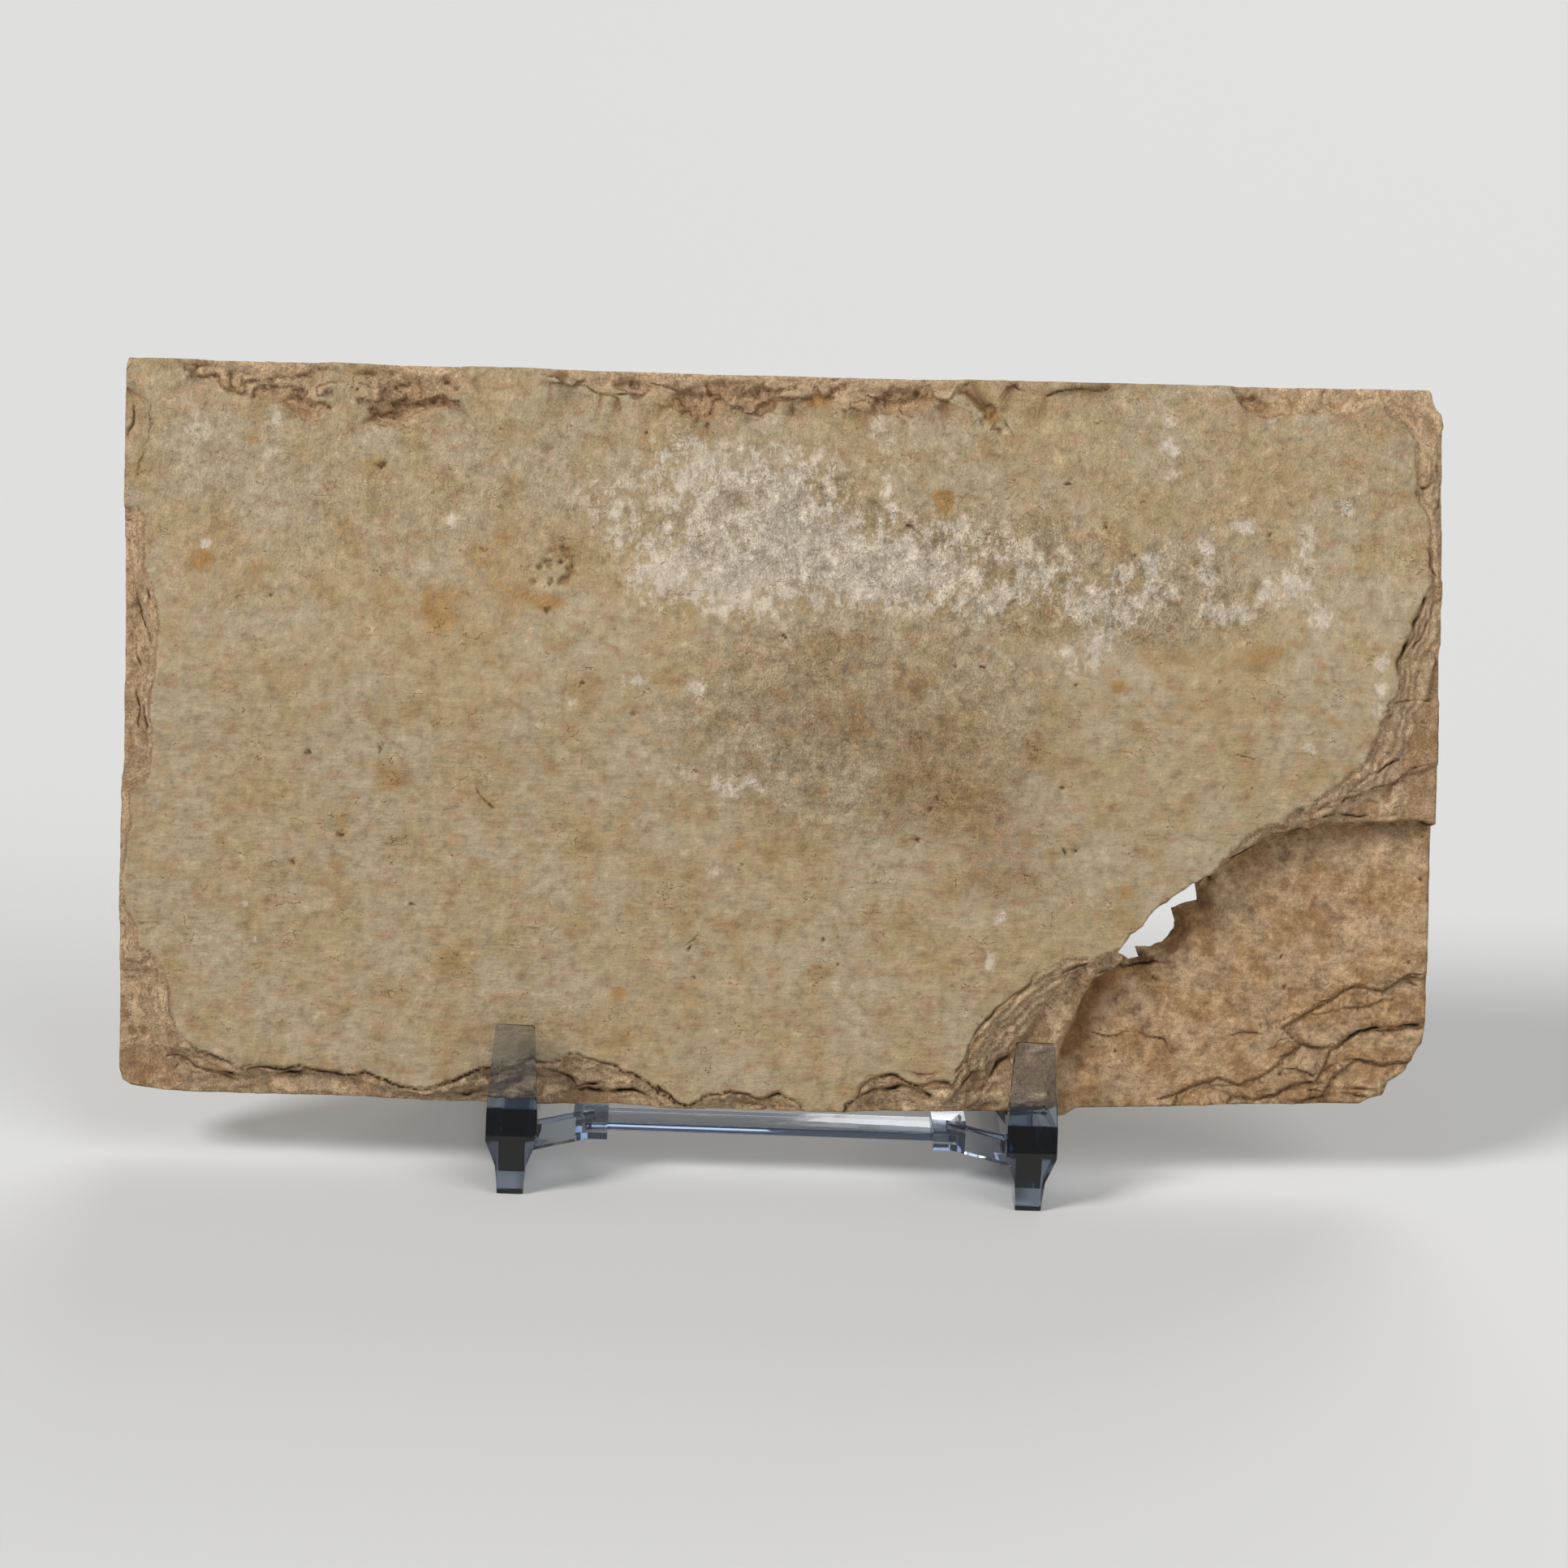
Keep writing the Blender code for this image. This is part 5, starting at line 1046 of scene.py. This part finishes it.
SKIN_TAN = (0.420, 0.290, 0.160, 1)

fossil_bone, bone_wires, bone_shader = new_finish("fossil_bone")
bone_place = bone_wires.add("ShaderNodeTexCoord", {}, {}, out=3).stretched(1000, 1000, 1000)
growth = bone_wires.read("growth", 1)
film_mask = bone_wires.read("film", 2)
bone_mottle = bone_place.noise(0.25, 5.0, 0.65)
bone_grain = bone_place.noise(1.4, 4.0, 0.7)
growth_lines = growth.noise(1.0, 3.0, 0.55)
bone_mix = (0.5 * bone_mottle + 0.5 * bone_grain).between(0.38, 0.70)
bone_colour = bone_mix.tint(BONE_DARK, BONE_AMBER).under(
    (growth_lines.between(0.50, 0.72) * 0.5, BONE_AMBER),
    (bone_grain.between(0.62, 0.76) * 0.5, BONE_PALE))
skin_mix = (0.6 * bone_mottle + 0.4 * bone_grain).between(0.42, 0.60)
skin_colour = skin_mix.tint(SKIN_BROWN, SKIN_TAN).under(
    (bone_grain.between(0.60, 0.75) * 0.6, STONE_BUFF))
connect(fossil_bone, film_mask.tint(bone_colour, skin_colour), bone_shader, "Base Color")
connect(fossil_bone, 0.38 + 0.3 * bone_grain + 0.2 * film_mask, bone_shader, "Roughness")
bone_relief = 0.5 * bone_grain + 0.7 * growth_lines + 0.4 * bone_mottle
bone_bump = bone_wires.add(
    "ShaderNodeBump", {}, {"Strength": 0.8, "Distance": 0.0006, "Height": bone_relief})
connect(fossil_bone, bone_bump, bone_shader, "Normal")


def back_at(x):
    """The height of the body's back over the fish's axis."""
    return np.interp(x, BACK_X, BACK_Y)


def belly_at(x):
    """The height of the body's belly: below the axis, so less than zero."""
    return np.interp(x, BELLY_X, BELLY_Y)


def rows_of(*columns):
    """One row for every point from its columns. A single number fills its whole column."""
    return np.column_stack(np.broadcast_arrays(*columns))


def fish_piece(name, mesh):
    rows = np.zeros(len(mesh.vertices) * 3, np.float32)
    mesh.vertices.foreach_get("co", rows)
    x, y, height = rows.reshape(-1, 3).T
    placed = on_plate(rows_of(x + FISH_SNOUT_U, y + FISH_AXIS_V, PLATE_DEPTH + height))
    mesh.vertices.foreach_set("co", placed.astype(np.float32).ravel())
    mesh.flip_normals()
    mesh.update()
    piece = set_out(name, mesh)
    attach(piece, "root")
    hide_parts("fish")


def pressed_pad(outline, step, height_at, seed):
    """Corners and faces of a closed pad over an outline, whose top stands at a height over the face."""
    rim = walk(outline, step)
    rim += 0.05 * np.stack((lumps(*rim.T, 2.5, seed + 40), lumps(*rim.T, 2.5, seed + 60)), 1)
    inner = scattered(rim.min(0), rim.max(0), step, seed)
    inner = inner[inside_by(*inner.T, rim) > 0.45 * step]
    top, top_faces, top_rings = fill([rim], inner)
    base, base_faces, base_rings = fill([rim], [])
    top_ring, base_ring = np.array(top_rings[0]), np.array(base_rings[0]) + len(top)
    places = np.concatenate((rows_of(*top.T, height_at(*top.T)), rows_of(*base.T, BEDDED_AT)))
    side = np.concatenate((
        np.column_stack((top_ring, base_ring, np.roll(base_ring, -1))),
        np.column_stack((top_ring, np.roll(base_ring, -1), np.roll(top_ring, -1)))))
    return places, np.concatenate((top_faces, base_faces[:, ::-1] + len(top), side))


def pad_mesh(name, parts, growth_rows, film):
    """One mesh of several closed pads, with its growth lines and its share of skin."""
    places, triangles = [], []
    start = 0
    for part_places, part_faces in parts:
        places.append(part_places)
        triangles.append(part_faces + start)
        start += len(part_places)
    mesh = closed_mesh(name, np.concatenate(places).tolist(), np.concatenate(triangles).tolist())
    keep_on(mesh, "growth", "FLOAT_VECTOR", np.concatenate(growth_rows))
    keep_on(mesh, "film", "FLOAT", np.full(start, film))
    mesh.materials.append(fossil_bone)
    return mesh


def film_height(x, y):
    """The skin's height: a low swell over the body, faintly ribbed by the muscles, thin on the fins."""
    body = smooth(back_at(x) - y, -1, 4) * smooth(y - belly_at(x), -1, 4)
    body = body * smooth(x, -1, 7) * smooth(211 - x, 0, 9)
    muscle = 0.06 * np.cos((x + 0.45 * np.abs(y - 4)) * 2 * math.pi / 3.7)
    swell = 0.16 + body * (0.30 + muscle) + 0.06 * lumps(x, y, 5, 81)
    return swell * smooth(inside_by(x, y, FISH_SILHOUETTE), -0.2, 1.6) - 0.02


film_part = pressed_pad(FISH_SILHOUETTE, FILM_STEP, film_height, 82)
fish_piece("fish_skin", pad_mesh("fish_skin", [film_part], [film_part[0] * 0.4], 1.0))


# Fish skull: five flattened plates of bone for the roof, the gill cover, the cheek and the two jaws, each
# with fine lines that fan out from where it began to grow, and the ring of bone round the eye.
SKULL_STEP = 0.95
EYE_PLACE = (20.5, 4.5)
EYE_RADIUS = 5.6
EYE_FLATTENED = 0.86
EYE_RING_RADIUS = 0.75
EYE_RING_STEPS, EYE_TUBE_STEPS = 28, 8
SKULL_PLATES = [
    ([(3.5, 13.8), (10, 17), (22, 21.6), (36, 27), (50, 31), (56, 31.6), (57, 22), (46, 19.5), (34, 17.5),
      (23, 15.5), (12, 13)], 1.6, (30, 20)),
    ([(43, 16), (52, 17.5), (59, 10), (61, -4), (58, -20), (51, -31), (43, -29), (41, -14), (40, 2)],
     1.9, (43, 9)),
    ([(33, 13.5), (39, 13), (38, 0), (39.5, -15), (41, -29), (33, -29), (23, -20), (27, -14), (32, -5)],
     1.5, (37, -20)),
    ([(1.6, 11.4), (6, 13.6), (10, 6), (15, -2), (21, -9), (18, -12.5), (10.5, -4.5), (4.6, 4)],
     1.75, (4, 12)),
    ([(0.6, 11.4), (3.4, 7), (9, -4), (16.6, -13.4), (26, -22), (22, -25), (13, -15), (6.2, -4)],
     1.4, (24, -22))]


def skull_part(outline, height, centre, seed):
    """One skull plate as a closed, gently domed pad, and the rows of its growth lines."""
    def height_at(x, y):
        inward = inside_by(x, y, outline)
        spread = np.arctan2(y - centre[1], x - centre[0])
        ridges = 0.05 * np.cos(spread * 34 + 1.5 * lumps(x, y, 6, seed))
        dome = 0.45 + 0.55 * smooth(inward, -0.2, 2.6)
        return height * 0.93 * dome + ridges + 0.07 * lumps(x, y, 2.6, seed + 1)
    places, triangles = pressed_pad(outline, SKULL_STEP, height_at, seed)
    away_x, away_y = places[:, 0] - centre[0], places[:, 1] - centre[1]
    lines = rows_of(np.arctan2(away_y, away_x) * 16, np.hypot(away_x, away_y) * 0.12, places[:, 2])
    return (places, triangles), lines


skull_parts = [skull_part(*plate, 90 + index) for index, plate in enumerate(SKULL_PLATES)]
ring_places, ring_faces = [], []
for step in range(EYE_RING_STEPS):
    following = (step + 1) % EYE_RING_STEPS
    around = 2 * math.pi * step / EYE_RING_STEPS
    for tube in range(EYE_TUBE_STEPS):
        beside = (tube + 1) % EYE_TUBE_STEPS
        turn = 2 * math.pi * tube / EYE_TUBE_STEPS
        reach = EYE_RADIUS + EYE_RING_RADIUS * math.cos(turn)
        ring_places.append((
            EYE_PLACE[0] + reach * math.cos(around), EYE_PLACE[1] + EYE_FLATTENED * reach * math.sin(around),
            0.55 + 0.55 * math.sin(turn)))
        near, far = step * EYE_TUBE_STEPS, following * EYE_TUBE_STEPS
        ring_faces += [
            (near + tube, far + tube, far + beside), (near + tube, far + beside, near + beside)]
ring_places = np.array(ring_places)
skull_parts.append(((ring_places, np.array(ring_faces)), ring_places * (0.3, 0.3, 1.0)))
fish_piece("fish_skull", pad_mesh("fish_skull", *zip(*skull_parts), 0.0))


# Fish skeleton: forty hourglass vertebrae, with the thin spines above and below them and the ribs of the
# trunk, all hard mineral bone that stands a little proud of the skin. One shape of each kind repeats.
VERTEBRAE = 40
TRUNK_VERTEBRAE = 18
HAIR_BONES = 96
SIZE_SPREAD = 0.06
SHARP_BONE_FROM = math.radians(100)


def turned_shape(name, rings, sides):
    """A closed rod along x. Each ring is its x, its sideways place, and its half width and thickness."""
    places = []
    for x, sideways, half_width, half_height in rings:
        for side in range(sides):
            angle = 2 * math.pi * side / sides
            places.append((x, sideways + half_width * math.cos(angle), half_height * math.sin(angle)))
    sheets = [tuple(range(sides))[::-1], tuple(range(len(places) - sides, len(places)))]
    for ring in range(len(rings) - 1):
        for side in range(sides):
            low, high = ring * sides + side, ring * sides + (side + 1) % sides
            sheets.append((low, high, high + sides, low + sides))
    return new_shape(name, places, sheets)


def new_shape(name, places, sheets, film=0.0):
    """A small shape for the tree to repeat. It is never linked to the scene itself."""
    mesh = closed_mesh(name, places, sheets)
    mesh.set_sharp_from_angle(angle=SHARP_BONE_FROM)
    keep_on(mesh, "growth", "FLOAT_VECTOR", [(y * 4, x * 1.5, height * 4) for x, y, height in places])
    keep_on(mesh, "film", "FLOAT", np.full(len(places), film))
    return bpy.data.objects.new(name, mesh)


vertebra_shape = turned_shape("vertebra_shape", [
    (-0.50, 0, 0.50, 0.50), (-0.36, 0, 0.44, 0.46), (-0.12, 0, 0.30, 0.34), (0.12, 0, 0.30, 0.34),
    (0.36, 0, 0.44, 0.46), (0.50, 0, 0.50, 0.50)], 8)
spine_shape = turned_shape("spine_shape", [
    (0.00, 0, 0.50, 0.50), (0.10, 0, 0.62, 0.55), (0.35, 0, 0.46, 0.48), (0.70, 0, 0.32, 0.38),
    (1.00, 0, 0.14, 0.20)], 5)
rib_shape = turned_shape("rib_shape", [
    (0.00, 0.000, 0.012, 0.42), (0.07, -0.012, 0.013, 0.46), (0.22, -0.034, 0.0115, 0.42),
    (0.42, -0.052, 0.010, 0.38), (0.64, -0.050, 0.009, 0.34), (0.84, -0.028, 0.007, 0.30),
    (1.00, 0.000, 0.004, 0.20)], 6)


def repeating_tree():
    """The node tree that sets one shape on every point, turned and sized by the point's attributes."""
    tree = bpy.data.node_groups.new("bones_on_points", "GeometryNodeTree")
    sockets = {}
    for port, kind in (
            ("Points", "NodeSocketGeometry"), ("Shape", "NodeSocketObject"),
            ("Size spread", "NodeSocketFloat"), ("Seed", "NodeSocketInt"), ("Finish", "NodeSocketMaterial")):
        sockets[port] = tree.interface.new_socket(port, in_out="INPUT", socket_type=kind).identifier
    tree.interface.new_socket("Bones", in_out="OUTPUT", socket_type="NodeSocketGeometry")
    ports = tree.nodes.new("NodeGroupInput")
    points, shape, spread, seed, finish = [Wire(tree.nodes, ports.outputs[index]) for index in range(5)]
    solid = points.add("GeometryNodeObjectInfo", {}, {"Object": shape}, out=4)
    turn, size = [
        points.add("GeometryNodeInputNamedAttribute", {"data_type": "FLOAT_VECTOR"}, {"Name": name})
        for name in ("turn", "size")]
    chance = points.add(
        "FunctionNodeRandomValue", {"data_type": "FLOAT"},
        {2: 1 - spread, 3: 1 + spread, "Seed": seed}, out=1)
    grown = size.brightened(chance)
    laid = points.add(
        "GeometryNodeInstanceOnPoints", {},
        {"Points": points, "Instance": solid, "Rotation": turn, "Scale": grown})
    real = points.add("GeometryNodeRealizeInstances", {}, {"Geometry": laid})
    finished = points.add("GeometryNodeSetMaterial", {}, {"Geometry": real, "Material": finish})
    leave = tree.nodes.new("NodeGroupOutput")
    tree.links.new(finished.socket, leave.inputs[0])
    return tree, sockets


bones_tree, bones_sockets = repeating_tree()


def lay_bones(name, shape, places, angles, sizes, seed, spread=SIZE_SPREAD):
    """One plain mesh of a shape repeated at places in the fish's frame, each with its angle and size."""
    cloud = bpy.data.meshes.new(name + "_points")
    cloud.from_pydata(places.tolist(), [], [])
    keep_on(cloud, "turn", "FLOAT_VECTOR", rows_of(0, 0, angles))
    keep_on(cloud, "size", "FLOAT_VECTOR", np.broadcast_to(sizes, places.shape))
    carrier = set_out(name + "_points", cloud)
    modifier = carrier.modifiers.new("bones", "NODES")
    modifier.node_group = bones_tree
    modifier[bones_sockets["Shape"]] = shape
    modifier[bones_sockets["Size spread"]] = spread
    modifier[bones_sockets["Seed"]] = seed
    modifier[bones_sockets["Finish"]] = fossil_bone
    evaluated = carrier.evaluated_get(bpy.context.evaluated_depsgraph_get())
    mesh = bpy.data.meshes.new_from_object(evaluated)
    mesh.name = name
    bpy.data.objects.remove(carrier)
    fish_piece(name, mesh)


def rods_between(starts, finishes, height, width, thickness):
    """Places, angles and sizes of straight rods from starts to finishes."""
    starts, finishes = np.array(starts, float), np.array(finishes, float)
    run = finishes - starts
    length = np.hypot(*run.T)
    return rows_of(*starts.T, height), np.arctan2(run[:, 1], run[:, 0]), rows_of(length, width, thickness)


joint_share = np.arange(VERTEBRAE) / (VERTEBRAE - 1)
joint_x = 59 + 147 * joint_share
joint_y = 8.5 - 8 * joint_share + 2.2 * np.sin(math.pi * joint_share)
joint_slope = np.arctan2(np.gradient(joint_y), np.gradient(joint_x))
lay_bones(
    "fish_vertebrae", vertebra_shape, rows_of(joint_x, joint_y, 0.95), joint_slope,
    rows_of(3.45, 5.0 - 1.9 * joint_share, 2.30 - 0.5 * joint_share), seed=11, spread=0.03)
back_x = joint_x + 10 - 4 * joint_share
upper_spines = rods_between(
    rows_of(joint_x - 0.6, joint_y + 0.8), rows_of(back_x, back_at(back_x) - 3.2), 0.72, 0.9, 0.75)
lay_bones("fish_upper_spines", spine_shape, *upper_spines, seed=12)
tail_part = np.arange(TRUNK_VERTEBRAE, VERTEBRAE)
below_x = joint_x[tail_part] + 9 - 4 * joint_share[tail_part]
lower_spines = rods_between(
    rows_of(joint_x[tail_part] - 0.6, joint_y[tail_part] - 0.8),
    rows_of(below_x, belly_at(below_x) + 3.2), 0.72, 0.9, 0.75)
lay_bones("fish_lower_spines", spine_shape, *lower_spines, seed=13)
trunk = np.arange(TRUNK_VERTEBRAE)
rib_foot_x = joint_x[trunk] + 10
rib_places, rib_angles, rib_sizes = rods_between(
    rows_of(joint_x[trunk], joint_y[trunk] - 1.0), rows_of(rib_foot_x, belly_at(rib_foot_x) + 4.6),
    0.78, 1, 1)
rib_sizes[:, 1] = rib_sizes[:, 0]
lay_bones("fish_ribs", rib_shape, rib_places, rib_angles, rib_sizes, seed=14, spread=0.0)
hair_random = np.random.default_rng(15)
hair_x = np.linspace(60, 186, HAIR_BONES) + hair_random.uniform(-1, 1, HAIR_BONES)
hair_rise = hair_random.uniform(0.25, 0.85, HAIR_BONES)
hair_middle = np.interp(hair_x, joint_x, joint_y)
hair_y = hair_middle + hair_rise * (back_at(hair_x) - 3 - hair_middle)
hairs = rods_between(
    rows_of(hair_x, hair_y),
    rows_of(hair_x + 7, hair_y + hair_random.uniform(-1.5, 2.6, HAIR_BONES)), 0.50, 0.34, 0.36)
lay_bones("fish_hair_bones", spine_shape, *hairs, seed=15)


# Fish fins and scutes: jointed rays that spread from the bone at each fin's root and split towards their
# tips, and the small keeled scutes in a row before the back fin and along the belly.
FORK_AT = 0.62
FORK_SPREAD = 0.045
BACK_SCUTES = np.arange(62, 98, 2.4)
BELLY_SCUTES = np.arange(34, 95, 2.7)
FINS = [
    ((98, 35.5), (125, 33.5), (108.5, 58.5), (126, 36.5), 13),
    ((124, -41.5), (195, -10.5), (129, -55), (195, -14.5), 30),
    ((97, -48.5), (104, -47.5), (101, -55.5), (107.5, -59.5), 7),
    ((51, -36), (53, -40), (80, -38), (75, -47), 11),
    ((205, 0.8), (205, 9.5), (225.5, 2.5), (249.5, 50.5), 17),
    ((205, -0.8), (205, -9.5), (225.5, -1), (249.8, -46), 17)]
ray_shape = turned_shape("ray_shape", [
    (0.00, 0, 0.55, 0.55), (0.12, 0, 0.46, 0.50), (0.24, 0, 0.52, 0.54), (0.36, 0, 0.40, 0.46),
    (0.48, 0, 0.46, 0.48), (0.60, 0, 0.36, 0.42), (0.72, 0, 0.40, 0.42), (0.86, 0, 0.28, 0.34),
    (1.00, 0, 0.16, 0.22)], 5)
ray_starts, ray_ends = [], []
for base_start, base_end, tip_start, tip_end, count in FINS:
    for index in range(count):
        root = Vector(base_start).lerp(Vector(base_end), index / (count - 1))
        tip = Vector(tip_start).lerp(Vector(tip_end), index / (count - 1))
        fork = root.lerp(tip, FORK_AT)
        aside = (tip - root).orthogonal().normalized() * (FORK_SPREAD * (tip - root).length)
        ray_starts += [root, fork, fork]
        ray_ends += [root.lerp(tip, 0.66), tip + aside * 0.5, tip - aside * 0.5]
rays = rods_between(ray_starts, ray_ends, 0.46, 0.72, 0.62)
lay_bones("fish_fin_rays", ray_shape, *rays, seed=21)
scute_shape = new_shape("scute_shape", [
    (-0.5, -0.34, 0), (0.6, 0, 0), (-0.5, 0.34, 0), (-0.2, 0, 0), (-0.42, 0, 0.5), (0.2, 0, 0.42)], [
    (0, 3, 2), (0, 1, 3), (3, 1, 2), (0, 4, 5), (0, 5, 1), (2, 5, 4), (2, 1, 5), (0, 2, 4)])
scute_x = np.concatenate((BACK_SCUTES, BELLY_SCUTES))
on_back = np.arange(len(scute_x)) < len(BACK_SCUTES)
scute_y = np.where(on_back, back_at(scute_x) - 1.7, belly_at(scute_x) + 1.9)
scute_angle = np.where(on_back, 0.06, np.where(scute_x < 72, -0.32, -0.02))
lay_bones(
    "fish_scutes", scute_shape, rows_of(scute_x, scute_y, 0.35), scute_angle, (3.3, 3.0, 1.6), seed=22)


# Fish scales: thin round flakes of bone, tan in the middle and darkened at the rim as painted shade, that
# overlap like tiles over the flank behind the gill cover. Many are lost, as on a real fossil, and the rest
# lie on the skin.
SCALE_STEP = 3.1
SCALE_SIDES = 10
SCALE_SIZE = (4.3, 4.3, 0.55)
# Skin share at each scale's centre and rim: the low share darkens the rim as painted shade.
SCALE_FILM_AND_RIM_SHADE = [0.75] + [0.12] * (SCALE_SIDES + 1)
scale_rim, scale_sheets = [], []
for index in range(SCALE_SIDES):
    angle = 2 * math.pi * index / SCALE_SIDES
    x, y = 0.5 * math.cos(angle), 0.5 * math.sin(angle)
    scale_rim.append((x, y, 0.16 + 0.60 * x))
    scale_sheets.append((0, 1 + index, 1 + (index + 1) % SCALE_SIDES))
scale_sheets += [(SCALE_SIDES + 1, beside, here) for _, here, beside in scale_sheets]
scale_places = [(0.05, 0.0, 0.34)] + scale_rim + [(0.0, 0.0, -0.20)]
scale_shape = new_shape("scale_shape", scale_places, scale_sheets, SCALE_FILM_AND_RIM_SHADE)
scale_grid = scattered((60, -52), (202, 40), SCALE_STEP, 31)
scale_x, scale_y = scale_grid.T
kept = (scale_y < back_at(scale_x) - 3.0) & (scale_y > belly_at(scale_x) + 3.0)
kept &= lumps(*scale_grid.T, 18, 32) + 0.45 * lumps(*scale_grid.T, 6, 33) > -0.02
scale_grid = scale_grid[kept]
scale_random = np.random.default_rng(34)
lay_bones(
    "fish_scales", scale_shape, rows_of(*scale_grid.T, 0.55),
    scale_random.uniform(-0.35, 0.25, len(scale_grid)), SCALE_SIZE, seed=35, spread=0.14)
